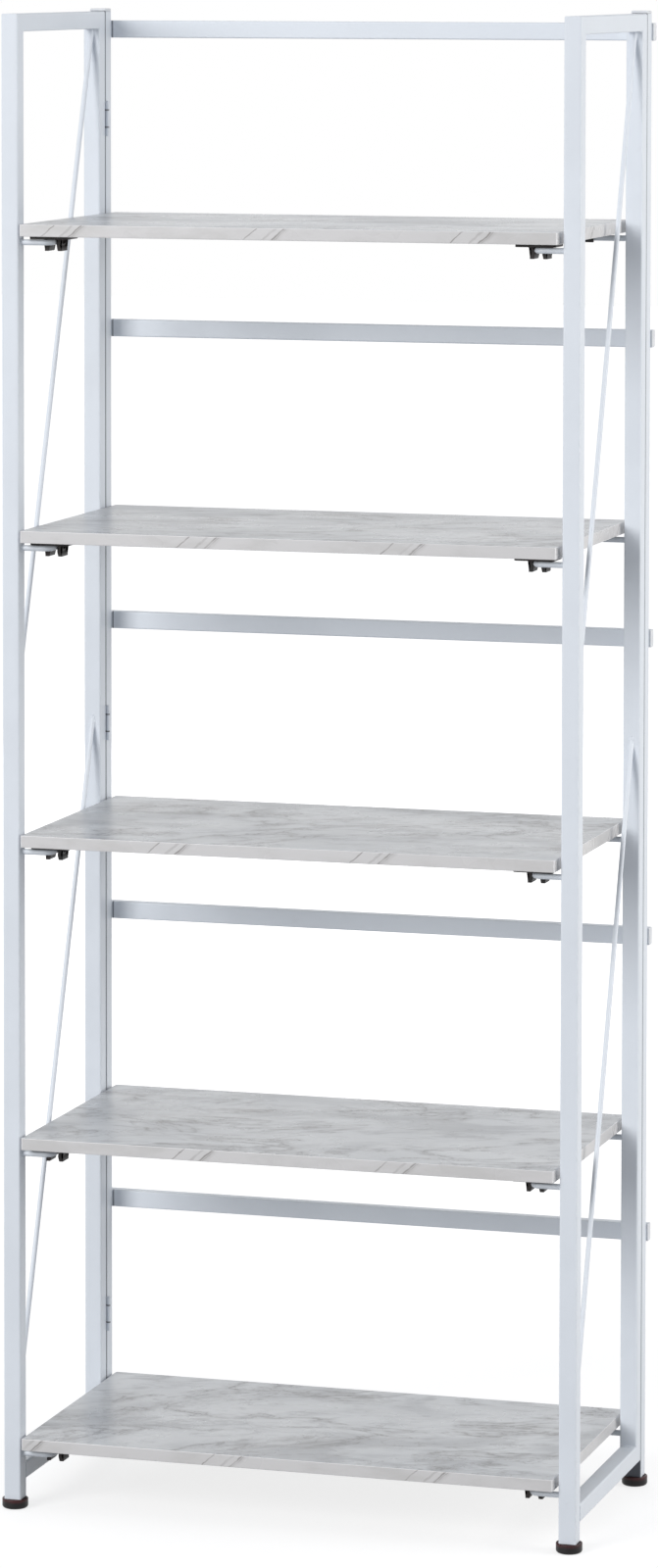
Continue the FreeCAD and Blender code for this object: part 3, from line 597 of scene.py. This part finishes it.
@dataclass(frozen=True)
class MarbleFilm:
    """Printed marble film on a board, with a printed band round its edge and a backing sheet."""

    name: str
    shift: Number3  # where on the roll the film was cut
    stroke_start: float  # X of the first stroke's lower end on the front band
    under_level: float  # level of the board's underside
    cut_turn: float = -14  # turn of the print against the board, in degrees
    white: Number3 = (198, 201, 205)  # the print between its clouds, wisps and veins
    cloud: Number3 = (168, 171, 176)
    wisp: Number3 = (152, 154, 159)
    haze: Number3 = (142, 143, 147)
    vein: Number3 = (106, 105, 108)
    thread: Number3 = (116, 115, 118)  # the finer veins
    band: tuple[Number3, Number3] = ((213, 212, 213), (203, 202, 202))  # the band between and in its clouds
    ink: Number3 = (120, 116, 114)  # the strokes of the band
    period: float = 0.212  # length after which the band's print repeats
    lean: float = 1.15  # how far a stroke leans for each metre of rise
    # Middle, half width and depth of each stroke of a period.
    strokes: tuple[Number3, ...] = ((0.002, 0.0013, 0.7), (0.0215, 0.0026, 0.28), (0.031, 0.0016, 0.75),
                                    (0.0338, 0.0009, 0.45), (0.034, 0.006, 0.16))
    arris_highlight: Number3 = (232, 232, 234)  # painted highlight on the band where its arrises and corners catch the light
    # The sheet on the underside, at its lightest and darkest.
    backing: tuple[Number3, Number3] = ((224, 223, 219), (214, 213, 209))
    dust: Number3 = (206, 205, 201)
    wear: Wear = Wear((1500.0, 7.0), (30.0, 0.25), (0.24, 0.34), (0.3, 0.7), 0.2, (0.06, 0.0003), 0.12)

    def _top(self, tree: Tree, at: Socket) -> Socket:
        """Colour of the film: cloudy streaks along the board, with thin broken veins."""
        moved = tree.stretched(at, (1, 1, 1), (0, 0, self.cut_turn), self.shift)
        drawn = tree.stretched(moved, (1.0, 1.9, 1.0))
        clouds = tree.noise(drawn, 5.5, 6, 0.62, 0.7)
        wisps = tree.noise(tree.stretched(moved, (1.0, 2.3, 1.0)), 16.0, 6, 0.66, 1.3)
        large = tree.group(EFFECTS.veins, Vector=drawn, Scale=4.4, Width=0.010, Warp=0.7)
        small = tree.group(EFFECTS.veins, Vector=drawn, Scale=10.0, Width=0.013, Warp=0.9)
        where = tree.spread(tree.noise(drawn, 7.0, 4, 0.6, 0.6), 0.40, 0.56)
        where_small = tree.times(tree.spread(clouds, 0.42, 0.6), where)
        colour = tree.mix(self.white, self.cloud, tree.spread(clouds, 0.46, 0.68))
        for over, share in ((self.wisp, tree.times(tree.spread(wisps, 0.5, 0.66), 0.68)),
                            (self.haze, tree.times(large["Haze"], where, 0.7)),
                            (self.vein, tree.times(large["Line"], where, 0.85)),
                            (self.thread, tree.times(small["Line"], where_small, 0.8))):
            colour = tree.mix(colour, over, share)
        return colour

    def _band(self, tree: Tree, at: Socket) -> Socket:
        """Colour of the edge band, whose leaning strokes repeat along the edge."""
        place = tree.parts(at)
        run = tree.math("ADD", place["X"], place["Y"])
        rise = tree.math("SUBTRACT", place["Z"], self.under_level)
        upright = tree.math("SUBTRACT", run, tree.times(rise, self.lean))
        lead_in = self.strokes[0][0]
        along = tree.math("SUBTRACT", upright, self.stroke_start + lead_in)
        waver = tree.times(tree.noise(at, 160.0, 2), 0.004)
        phase = tree.math("WRAP", tree.math("ADD", along, waver), self.period, 0.0)
        fade = tree.spread(tree.noise(at, 75.0, 3), 0.3, 0.6, 0.45, 1)
        cloud = tree.spread(tree.noise(tree.stretched(at, (1, 1, 2.5)), 13.0, 5, 0.6), 0.42, 0.66)
        colour = tree.mix(*self.band, cloud)
        for centre, width, depth in self.strokes:
            mask = tree.times(tree.near(phase, centre, width * 0.25, width), fade, depth)
            colour = tree.mix(colour, self.ink, mask)
        return colour

    def material(self) -> Material:
        """Film on top, band round the edge with a painted highlight on its arrises, and a plain backing sheet
        below.
        """
        coating = Coating(self.name, (218, 219, 221), self.wear)
        tree, at = coating.tree, coating.at
        facing = tree.facing()
        backing = tree.mix(*self.backing, tree.noise(at, 260.0, 3, 0.7))
        # Painted highlight where the rounded arrises and corners of the band turn towards the light.
        corner = tree.math("ABSOLUTE", tree.times(facing["X"], facing["Y"]))
        arris = tree.math("MAXIMUM", tree.spread(tree.math("ABSOLUTE", facing["Z"]), 0.15, 0.55),
                          tree.spread(corner, 0.1, 0.35))
        colour = tree.mix(self._band(tree, at), self.arris_highlight, tree.times(arris, 0.85))
        colour = tree.mix(colour, self._top(tree, at), tree.spread(facing["Z"], 0.72, 0.86))
        colour = tree.mix(colour, backing, tree.spread(facing["Z"], -0.86, -0.72, 1, 0))
        return coating.done(coating.dusted(colour, self.dust))


@dataclass(frozen=True)
class MouldedPlastic:
    """Injection-moulded plastic with spark-eroded grain, flow marks, rub marks and dust."""

    name: str
    colour: Number3
    second: Number3  # what its colour drifts to
    rough: float
    rim_level: float | None = None  # level from which the second colour shows, or None for patches of it
    rim_fade: float = 0.003  # height over which it comes in
    mirror: float = 0.3  # how strongly it mirrors what is in front of it
    dust: Number3 = (190, 188, 184)

    def material(self) -> Material:
        """The plastic's material."""
        wear = Wear((2400.0, 60.0), (160.0, 0.6), (self.rough - 0.04, self.rough + 0.06), (0.3, 0.7), 0.2,
                    (0.12, 0.0002), 0.05)
        coating = Coating(self.name, self.colour, wear)
        coating.shader.inputs["Specular IOR Level"].default_value = self.mirror
        if self.rim_level is None:
            colour = coating.mottled(self.colour, self.second, 0.4, 0.62)
        else:
            tree = coating.tree
            rim = tree.spread(tree.parts(coating.at)["Z"], self.rim_level, self.rim_level + self.rim_fade)
            patches = tree.spread(coating.grain["Mottle"], 0.3, 0.6, 0.5, 1)
            colour = tree.mix(self.colour, self.second, tree.times(rim, patches))
        pale = [min(255.0, value * 0.8 + 45) for value in self.colour]
        return coating.done(coating.dusted(coating.rubbed(colour, pale, 0.35), self.dust))


@dataclass(frozen=True)
class PlatedSteel:
    """Bright zinc on small steel parts: cloudy plating with fine tool lines and dull spots."""

    name: str
    colour: Number3 = (196, 198, 200)
    dull: float = 0.82  # how bright its dull clouds are against the rest
    rubbed: Number3 = (150, 148, 144)
    metal: float = 0.9
    wear: Wear = Wear((3200.0, 120.0), (420.0, 0.8), (0.26, 0.44), (0.3, 0.7), 0.25, (0.1, 0.0002))

    def material(self) -> Material:
        """The plating's material."""
        coating = Coating(self.name, self.colour, self.wear)
        coating.shader.inputs["Metallic"].default_value = self.metal
        tree = coating.tree
        lines = tree.noise(tree.stretched(coating.at, (1, 1, 14)), 900.0, 2)
        clouds = [value * self.dull for value in self.colour]
        colour = coating.rubbed(coating.mottled(self.colour, clouds, 0.42, 0.66), self.rubbed, 0.4)
        return coating.done(colour, lines, tree.math("MULTIPLY_ADD", lines, 0.5, coating.grain["Height"]))


class Finishes:
    """All finishes of the bookcase but the boards', made once."""

    def __init__(self) -> None:
        """Make the finishes."""
        self.coat = PowderCoat().material()
        self.hinge = PowderCoat("hinge_coat", gaps=(0.133, 0.151, 0.763, 0.781, 1.399, 1.417)).material()
        self.clip = MouldedPlastic("clip_black", (15, 13, 14), (34, 27, 27), 0.46).material()
        self.foot = MouldedPlastic("foot_black", (15, 13, 14), (62, 27, 30), 0.40, rim_level=0.0055).material()
        self.plug = MouldedPlastic("plug_white", (228, 231, 235), (219, 222, 227), 0.38).material()
        self.screw = PlatedSteel("screw_zinc").material()


def dress_nodes(finishes: Finishes) -> None:
    """Give every node of the plain model the finish that its name calls for.

    Args:
        finishes: all finishes.
    """
    kinds = (("hinge", finishes.hinge), ("screw", finishes.screw), ("clip", finishes.clip),
             ("feet", finishes.foot), ("foot", finishes.foot), ("plug", finishes.plug),
             ("cap", finishes.plug))
    for name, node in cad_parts.items():
        finish = next((made for word, made in kinds if word in name), finishes.coat)
        if not node.data.materials:
            node.data.materials.append(finish)
        for place in node.material_slots:
            place.material = finish
        LOG.info("node %s: %s", name, finish.name)


# ---------------------------------------------------------------- pieces
def make_piece(name: str, shells: Sequence[Shell], finish: Material, body: str,
               stands_for: Sequence[str] = (), sharp: float = 38) -> None:
    """Put surfaces into one object of the bookcase.

    Args:
        name: the object's name.
        shells: its surfaces, in place.
        finish: its material.
        body: the body it rides on.
        stands_for: the nodes it replaces.
        sharp: the angle, in degrees, from which an edge stays sharp.
    """
    starts = np.cumsum([0] + [len(shell.points) for shell in shells])
    points = np.concatenate([shell.points for shell in shells])
    faces = [tuple(start + corner for corner in face) for start, shell in zip(starts.tolist(), shells)
             for face in shell.faces]
    mesh = bpy.data.meshes.new(name)
    mesh.from_pydata(points.tolist(), [], faces)
    work = bmesh.new()
    work.from_mesh(mesh)
    bmesh.ops.remove_doubles(work, verts=work.verts, dist=MERGE)
    bmesh.ops.recalc_face_normals(work, faces=work.faces)
    work.to_mesh(mesh)
    work.free()
    mesh.polygons.foreach_set("use_smooth", np.ones(len(mesh.polygons), bool))
    mesh.set_sharp_from_angle(angle=math.radians(sharp))
    mesh.materials.append(finish)
    piece = bpy.data.objects.new(name, mesh)
    bpy.context.scene.collection.objects.link(piece)
    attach(piece, body)
    if stands_for:
        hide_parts(*stands_for)
    LOG.info("piece %s: %d faces on %s", name, len(mesh.polygons), body)


@dataclass(frozen=True)
class Layout:
    """Levels and lines that the sub-assemblies share."""

    post_x: float = 0.291  # middle of a post, from the middle plane
    inner: float = 0.282  # inner face of a post, from the middle plane
    outer: float = 0.300  # outer face of a post, from the middle plane
    tube: float = 0.018  # outer side of the square tube
    crossbar: Number2 = (0.012, 0.018)  # depth and height of the crossbar tube
    front_post_y: float = -0.1375  # middle line of the front posts
    rear_post_y: float = 0.1145  # middle line of the rear posts
    back_post_y: float = 0.134  # middle line of the back posts
    back_face: float = 0.143  # rear face of the back posts, front face of the crossbars
    top_level: float = 1.520  # top faces of the tube frames
    # Top faces of the boards, from the lowest up.
    shelf_tops: tuple[float, ...] = (0.0755, 0.384, 0.6925, 1.001, 1.3095)
    board_thick: float = 0.0124
    # Middle levels of the crossbars, from the lowest up.
    crossbar_middles: tuple[float, ...] = (0.262, 0.5705, 0.879, 1.1875, 1.5013)

    def under(self, number: int) -> float:
        """Level of a board's underside, by the board's number from 1 at the bottom."""
        return self.shelf_tops[number - 1] - self.board_thick


LAYOUT = Layout()


@dataclass
class Board:
    """One board with its film, edge band and backing."""

    number: int  # its number, from 1 at the bottom
    film: MarbleFilm
    wide: float = 0.556  # its length across the bookcase
    deep: float = 0.298
    front: float = -0.155  # its front edge
    arris: float = 0.0008  # radius of its edges
    corner: float = 0.0016  # radius of its corners seen from above

    def build(self) -> None:
        """Make the slab with rounded edges and corners."""
        outline = rounded_rectangle(self.wide, self.deep, self.corner, 6)
        slab = prism(outline, LAYOUT.under(self.number), LAYOUT.shelf_tops[self.number - 1], self.arris, 6)
        slab = slab.placed((0, self.front + self.deep / 2, 0))
        make_piece(f"board_{self.number}", [slab], self.film.material(), f"shelf_{self.number}",
                   [f"shelf_{self.number}_board"])


@dataclass
class Clips:
    """The two clips under one edge of a board.

    A clip draws itself across, along and down from the board, with its
    outlines clockwise and in millimetres.
    """

    number: int
    edge: ClassVar[str]
    middle: ClassVar[Number2]  # middle of a clip, across and along
    along: ClassVar[int]  # the sign of Y that a clip's own second direction runs to

    def _clip(self) -> list[Shell]:
        """One clip in its own frame."""
        raise NotImplementedError

    @staticmethod
    def _cut(outline: Sequence[Number2], reach: float, corner_steps: int, half: float, arris: float,
             steps: int = 4) -> Shell:
        """A rib of even width on both sides of zero, from its outline."""
        return prism(rounded_outline(np.array(outline[::-1]) * MM, reach, corner_steps), -half, half, arris,
                     steps)

    def build(self, finish: Material) -> None:
        """Make both clips of the edge.

        Args:
            finish: their material.
        """
        across, along = self.middle
        placed = [shell.placed((side.value * across, along, LAYOUT.under(self.number)),
                               along=(0, self.along, 0), upward=(0, 0, -1))
                  for side in Side for shell in self._clip()]
        make_piece(f"{self.edge}_clips_{self.number}", placed, finish, f"shelf_{self.number}",
                   [f"shelf_{self.number}_{self.edge}_clips"])


@dataclass
class FrontClips(Clips):
    """The clips under a board's front corners, whose two prongs straddle the front wires."""

    edge = "front"
    middle = (0.252, -0.1175)
    along = 1
    plate: Number3 = (0.041, 0.0335, 0.0032)  # length, width and thickness of the plate
    plate_ahead: float = 0.00675  # middle of the plate in front of the prongs' middle
    prong: tuple[Number2, ...] = (
        (5.4, 1.6), (4.4, 6.0), (3.6, 9.6), (3.8, 11.4), (4.8, 15.4), (9.0, 15.4), (8.8, 12.6), (7.6, 10.0),
        (8.2, 6.0), (10.6, 1.6))
    prong_wide: float = 0.018  # the prong, front to back
    # Outline of the rib between prong and plate.
    rib: tuple[Number2, ...] = ((9.0, 3.0), (13.8, 3.0), (8.0, 8.4), (7.6, 8.4))
    rib_wide: float = 0.0014

    def _clip(self) -> list[Shell]:
        """A plate with a prong and a rib on each side."""
        long, wide, thick = self.plate
        plate = prism(rounded_rectangle(long, wide, 0.003, 6), 0, thick, 0.0005)
        sides = [self._cut(self.prong, 0.0004, 4, self.prong_wide / 2, 0.0003),
                 self._cut(self.rib, 0.0002, 3, self.rib_wide / 2, 0.00015, 3)]
        sides = [side.placed(along=(0, 0, 1), upward=(0, -1, 0)) for side in sides]
        return [plate.placed((0, -self.plate_ahead, 0)), *both_sides(sides)]


@dataclass
class RearClips(Clips):
    """The clips under a board's rear corners, which hook in front of the rear pegs."""

    edge = "rear"
    middle = (0.2425, 0.1145)
    along = -1
    plate: Number3 = (0.011, 0.040, 0.0022)  # width, length and thickness of the plate
    hook: tuple[Number2, ...] = (
        (3.95, 1.0), (3.95, 7.6), (3.3, 8.8), (3.9, 9.9), (5.6, 9.9), (6.45, 8.6), (6.45, 4.4), (8.4, 1.0))
    hook_play: float = 0.0002  # how far its sides lie inside the plate's

    def _clip(self) -> list[Shell]:
        """A plate with one hook."""
        wide, long, thick = self.plate
        plate = prism(rounded_rectangle(wide, long, 0.003, 6), 0, thick, 0.0004)
        hook = self._cut(self.hook, 0.0005, 4, wide / 2 - self.hook_play, 0.00035)
        return [plate, hook.placed((0, 0, 0), *OUTWARD)]


@dataclass
class Feet:
    """The four feet: round pads under the posts, each on a square stem."""

    radius: float = 0.01325
    tall: float = 0.010
    low_round: float = 0.003  # radius of its lower edge
    high_round: float = 0.001  # radius of its upper edge
    # Radius and level of the rings of its hollow underside.
    sole: tuple[Number2, ...] = ((0.004, 0.0004), (0.0094, 0.0004), (0.0098, 0))
    wall: Number2 = (0.0036, 0.0018)  # how far its side ends from the underside and from the top
    groove: float = 0.00007  # depth of the three grip grooves in its side
    # Rings inside its upper edge, as steps in and down.
    crown: tuple[Number2, ...] = ((0.0018, 0.0001), (0.0024, 0.0005), (0.00925, 0.0005))
    stem: float = 0.0153  # side of the stem
    stem_sunk: float = 0.001  # how far the stem starts below the pad's top
    stem_top: float = 0.028  # level of the stem's upper end

    def _foot(self) -> list[Shell]:
        """One foot at zero."""
        turn = np.linspace(0, math.pi / 2, 8)
        low = np.stack([self.radius - self.low_round * (1 - np.sin(turn)),
                        self.low_round * (1 - np.cos(turn))], 1)
        level = np.linspace(self.wall[0], self.tall - self.wall[1], 25)
        wave = 1 - np.cos((level - level[0]) / (level[-1] - level[0]) * 3 * FULL_TURN)
        side = np.stack([self.radius - self.groove * wave / 2, level], 1)
        high = np.stack([self.radius - self.high_round * (1 - np.cos(turn)),
                         self.tall - self.high_round * (1 - np.sin(turn))], 1)
        crown = [(self.radius - inward, self.tall - down) for inward, down in self.crown]
        stem = prism(rounded_rectangle(self.stem, self.stem, 0.001, 4), self.tall - self.stem_sunk,
                     self.stem_top, 0.0006)
        return [lathe(np.concatenate([self.sole, low, side, high, crown]), 72), stem]

    def build(self, finish: Material) -> None:
        """Make the feet of the side frames and of the back frame.

        Args:
            finish: their material.
        """
        for side in Side:
            place = (side.value * LAYOUT.post_x, LAYOUT.front_post_y, 0)
            make_piece(f"foot_{side.word}", [shell.placed(place) for shell in self._foot()], finish,
                       side.body, [f"front_foot_{side.word}"])
        rear = [shell.placed((side.value * LAYOUT.post_x, LAYOUT.back_post_y, 0))
                for side in Side for shell in self._foot()]
        make_piece("feet_rear", rear, finish, "back_frame", ["rear_feet"])


@dataclass
class Plugs:
    """White plastic in the open tube ends: crossbar plugs and back post caps."""

    plug_thick: float = 0.0018
    cap_thick: float = 0.003
    stem_long: float = 0.018  # how far each reaches into its tube
    stem_root: float = 0.0004  # how far its stem reaches into its plate
    wall: float = 0.00135  # the tube's wall, with the stem's play

    def _stopper(self, deep: float, tall: float, reach: float, thick: float, arris: float,
                 steps: int = 4) -> list[Shell]:
        """A plate and its stem along the third direction, the plate's back at zero.

        Args:
            deep: the tube's first outer side.
            tall: the tube's second outer side.
            reach: how far from a corner of the plate its rounding starts.
            thick: the plate's thickness.
            arris: radius of the plate's edges.
            steps: rings in a rounded edge.

        Returns:
            The two surfaces.
        """
        plate = prism(rounded_rectangle(deep, tall, reach, 6), 0, thick, arris, steps)
        inside = rounded_rectangle(deep - 2 * self.wall, tall - 2 * self.wall, 0.0008, 4)
        return [plate, prism(inside, -self.stem_long, self.stem_root, 0.0004)]

    def build(self, finish: Material) -> None:
        """Make all plugs and caps.

        Args:
            finish: their material.
        """
        middle = LAYOUT.back_face + LAYOUT.crossbar[0] / 2
        plug = self._stopper(*LAYOUT.crossbar, 0.0015, self.plug_thick, 0.0007)
        plugs = [shell.placed((LAYOUT.outer, middle, level), *OUTWARD)
                 for level in LAYOUT.crossbar_middles for shell in plug]
        caps = [shell.placed((LAYOUT.post_x, LAYOUT.back_post_y, LAYOUT.top_level))
                for shell in self._stopper(LAYOUT.tube, LAYOUT.tube, 0.002, self.cap_thick, 0.0012, 7)]
        for name, right, node in (("crossbar_plugs", plugs, "crossbar_end_plugs"),
                                  ("post_caps", caps, "back_post_caps")):
            make_piece(name, both_sides(right), finish, "back_frame", [node])


@dataclass
class Welds:
    """The welds under the paint, where wires, braces and bars meet the posts."""

    wire: Number2 = (0.00295, 0.0011)  # radius of the shelf wires and size of the bead round them
    brace: Number2 = (0.0025, 0.0009)  # radius of the braces and size of the bead round them
    brace_squeeze: float = 0.8  # how much shorter than a brace's slanted section its ring is
    front_wire_drop: float = 0.00645  # middle of the front wires below a board's underside
    rear_wire_drop: float = 0.00545  # middle of the rear pegs below a board's underside
    # Levels of the braces' ends, on the rear post and on the front post.
    brace_ends: tuple[Number2, ...] = ((1.500, 0.825), (0.774, 0.105))
    bottom_bar: Number2 = (0.028, 0.046)  # lower and upper face of the bottom bar
    # A side frame's seam: what it is shorter than the tube, its bead and its pitch.
    bar_seam: Number3 = (0.003, 0.0013, 0.0022)
    crossbar_seam: Number3 = (0.004, 0.0012, 0.002)  # the same of a crossbar's seam

    def _side(self) -> list[Shell]:
        """The welds of the right-hand side frame."""
        wires = [weld_ring(*self.wire).placed((LAYOUT.inner, along, LAYOUT.under(number) - drop), *OUTWARD)
                 for number in range(1, len(LAYOUT.shelf_tops) + 1)
                 for along, drop in ((LAYOUT.front_post_y, self.front_wire_drop),
                                     (LAYOUT.rear_post_y, self.rear_wire_drop))]
        front_face = LAYOUT.front_post_y + LAYOUT.tube / 2
        rear_face = LAYOUT.rear_post_y - LAYOUT.tube / 2
        reach = rear_face - front_face
        braces = []
        for rear_level, front_level in self.brace_ends:
            slope = math.hypot(reach, rear_level - front_level) / reach
            ring = weld_ring(*self.brace, self.brace_squeeze * slope)
            braces += [ring.placed((LAYOUT.post_x, face, level), along=(0, 0, 1), upward=(0, 1, 0))
                       for face, level in ((rear_face, rear_level), (front_face, front_level))]
        low, high = self.bottom_bar
        underside = LAYOUT.top_level - LAYOUT.tube
        seams = self._seams(self.bar_seam, ((front_face, low), (front_face, high), (rear_face, high),
                                            (front_face, underside), (rear_face, underside)))
        return wires + braces + seams

    @staticmethod
    def _seams(kind: Number3, places: Sequence[Number2]) -> list[Shell]:
        """Seams of one kind across the right-hand posts, by their Y and Z."""
        short, bead, pitch = kind
        seam = weld_seam(LAYOUT.tube - short, bead, pitch)
        return [seam.placed((LAYOUT.post_x, *place)) for place in places]

    def build(self, finish: Material) -> None:
        """Make the welds of the three frames.

        Args:
            finish: the paint over them.
        """
        side = self._side()
        half = LAYOUT.crossbar[1] / 2
        back = self._seams(self.crossbar_seam, [(LAYOUT.back_face, middle + edge * half)
                                                for middle in LAYOUT.crossbar_middles for edge in (-1, 1)])
        for name, shells, body in (("welds_right", side, Side.RIGHT.body),
                                   ("welds_left", [shell.mirrored() for shell in side], Side.LEFT.body),
                                   ("welds_back", both_sides(back), "back_frame")):
            make_piece(name, shells, finish, body, sharp=180)


# ---------------------------------------------------------------- studio
@dataclass(frozen=True)
class Viewpoint:
    """Where the camera stands, with its turns in degrees and its image in pixels."""

    place: Number3 = (1.720126, -5.719969, 1.580591)
    yaw: float = 16.7093  # turn to the left of straight back
    pitch: float = -3.6443  # turn above level
    roll: float = 0.0849  # turn about the line of sight
    focal: float = 6019.554  # distance of the image plane
    centre: Number2 = (338.9, 336.0)  # where the line of sight meets the image, from its upper left corner
    image: tuple[int, int] = (671, 1600)  # width and height of the image
    sensor: float = 36.0  # long side of the sensor, in millimetres
    far: float = 100.0  # distance to which the camera sees

    def build(self) -> None:
        """Make the scene's camera."""
        yaw, pitch, roll = (math.radians(angle) for angle in (self.yaw, self.pitch, self.roll))
        sight = Vector((-math.sin(yaw) * math.cos(pitch), math.cos(yaw) * math.cos(pitch), math.sin(pitch)))
        right = Vector((math.cos(yaw), math.sin(yaw), 0))
        upward = right.cross(sight)
        across = math.cos(roll) * right + math.sin(roll) * upward
        over = math.cos(roll) * upward - math.sin(roll) * right
        data = bpy.data.cameras.new("camera")
        data.sensor_width = self.sensor
        long = max(self.image)
        data.lens = self.focal / long * self.sensor
        data.shift_x = (self.image[0] / 2 - self.centre[0]) / long
        data.shift_y = (self.centre[1] - self.image[1] / 2) / long
        data.clip_end = self.far
        camera = bpy.data.objects.new("camera", data)
        turned = Matrix((across, over, -sight)).transposed().to_4x4()
        camera.matrix_world = Matrix.Translation(self.place) @ turned
        bpy.context.scene.collection.objects.link(camera)
        bpy.context.scene.camera = camera


@dataclass(frozen=True)
class Lamp:
    """A square soft lamp, with its power in watts."""

    name: str
    place: Number3
    aim: Number3  # what it looks at
    side: float
    power: float
    colour: Number3
    mirrored: bool = True  # whether glossy faces mirror it

    def build(self) -> None:
        """Make the lamp, turned to its aim."""
        data = bpy.data.lights.new(self.name, "AREA")
        data.size = self.side
        data.energy = self.power
        data.color = self.colour
        lamp = bpy.data.objects.new(self.name, data)
        lamp.location = self.place
        lamp.visible_glossy = self.mirrored
        sight = Vector(self.aim) - Vector(self.place)
        lamp.rotation_euler = sight.to_track_quat("-Z", "Y").to_euler()
        bpy.context.scene.collection.objects.link(lamp)


@dataclass(frozen=True)
class Studio:
    """A pale floor, a white surround and soft lamps."""

    ambient: float = 0.445  # the surround's light on the bookcase
    ambient_colour: Number3 = (0.93, 0.965, 1.02)  # its colour, as the shaders want it
    floor_side: float = 40.0
    floor_colour: Number3 = (156, 156, 157)
    floor_rough: float = 0.9
    # Light that the camera sees on the floor beyond what falls on it, near the bookcase and far from it.
    floor_lift: Number2 = (0.76, 0.93)
    floor_reach: Number2 = (0.5, 2.6)  # how far from the middle the near light ends and the far light starts
    lamps: tuple[Lamp, ...] = (
        Lamp("key", (-4.2, -7.8, 3.9), (0, 0, 0.7), 4.4, 545, (1.0, 0.99, 0.975)),
        Lamp("fill", (3.9, 0.1, 1.5), (0, 0, 0.75), 2.0, 82, (1.0, 0.975, 0.93)),
        Lamp("back", (-2.6, 5.0, 1.4), (0, 0, 0.75), 2.6, 80, (1.0, 0.98, 0.95), mirrored=False),
    )

    def _seen(self, tree: Tree) -> Socket:
        """1 for rays that come from the camera, a mirror or glass, and 0 for light."""
        rays = tree.node("LightPath").outputs
        direct = tree.math("MAXIMUM", rays["Is Camera Ray"], rays["Is Glossy Ray"])
        return tree.math("MAXIMUM", direct, rays["Is Transmission Ray"])

    def _surround(self) -> None:
        """White to the camera, and the ambient light to everything else."""
        world = bpy.data.worlds.new("surround")
        bpy.context.scene.world = world
        world.use_nodes = True
        world.node_tree.nodes.clear()
        tree = Tree(world.node_tree)
        light = tree.node("Background", {"Color": (*self.ambient_colour, 1), "Strength": self.ambient})
        white = tree.node("Background", {"Color": (1, 1, 1, 1), "Strength": 1.0})
        mixed = tree.node("MixShader", {0: self._seen(tree), 1: light.outputs[0], 2: white.outputs[0]})
        tree.node("OutputWorld", {"Surface": mixed.outputs[0]})

    def _floor(self) -> None:
        """A plain pale floor, which keeps the bookcase's shadow."""
        half = self.floor_side / 2
        corners = [(-half, -half, 0), (half, -half, 0), (half, half, 0), (-half, half, 0)]
        mesh = bpy.data.meshes.new("floor")
        mesh.from_pydata(corners, [], [(0, 1, 2, 3)])
        material, tree, shader = new_material("floor_pale", self.floor_colour)
        for name, value in (("Base Color", linear(*self.floor_colour)), ("Roughness", self.floor_rough),
                            ("Specular IOR Level", 0.0)):
            tree.feed(shader.inputs[name], value)
        away = tree.node("VectorMath", {0: tree.place()}, operation="LENGTH").outputs["Value"]
        level = tree.times(self._seen(tree), tree.spread(away, *self.floor_reach, *self.floor_lift))
        lift = tree.node("Emission", {"Color": (1, 1, 1, 1), "Strength": level})
        both = tree.node("AddShader", {0: shader.outputs[0], 1: lift.outputs[0]})
        output = next(node for node in material.node_tree.nodes if node.type == "OUTPUT_MATERIAL")
        tree.feed(output.inputs["Surface"], both.outputs[0])
        mesh.materials.append(material)
        floor = bpy.data.objects.new("floor", mesh)
        bpy.context.scene.collection.objects.link(floor)

    def build(self) -> None:
        """Set up the surround, the floor and the lamps."""
        bpy.context.scene.view_settings.view_transform = "Standard"
        self._surround()
        self._floor()
        for lamp in self.lamps:
            lamp.build()


@dataclass(frozen=True)
class Bookcase:
    """The whole bookcase."""

    # For each board from the lowest up, where its film was cut and where the first stroke of its front
    # band starts.
    films: tuple[tuple[Number3, float], ...] = (
        ((0.3, 0.1, 0), -0.243), ((1.4, 0.7, 0.2), -0.275), ((2.1, -0.6, 0.5), -0.301),
        ((3.3, 0.2, 0.8), -0.270), ((4.2, 1.1, 0.4), -0.412))

    def build(self) -> None:
        """Build and dress every sub-assembly in order."""
        finishes = Finishes()
        dress_nodes(finishes)
        for number, (shift, start) in enumerate(self.films, start=1):
            Board(number, MarbleFilm(f"marble_film_{number}", shift, start, LAYOUT.under(number))).build()
            FrontClips(number).build(finishes.clip)
            RearClips(number).build(finishes.clip)
        Feet().build(finishes.foot)
        Plugs().build(finishes.plug)
        Welds().build(finishes.coat)


def main() -> None:
    """Build the camera, the studio and the bookcase."""
    Viewpoint().build()
    Studio().build()
    Bookcase().build()


if __name__ == "__main__":
    main()
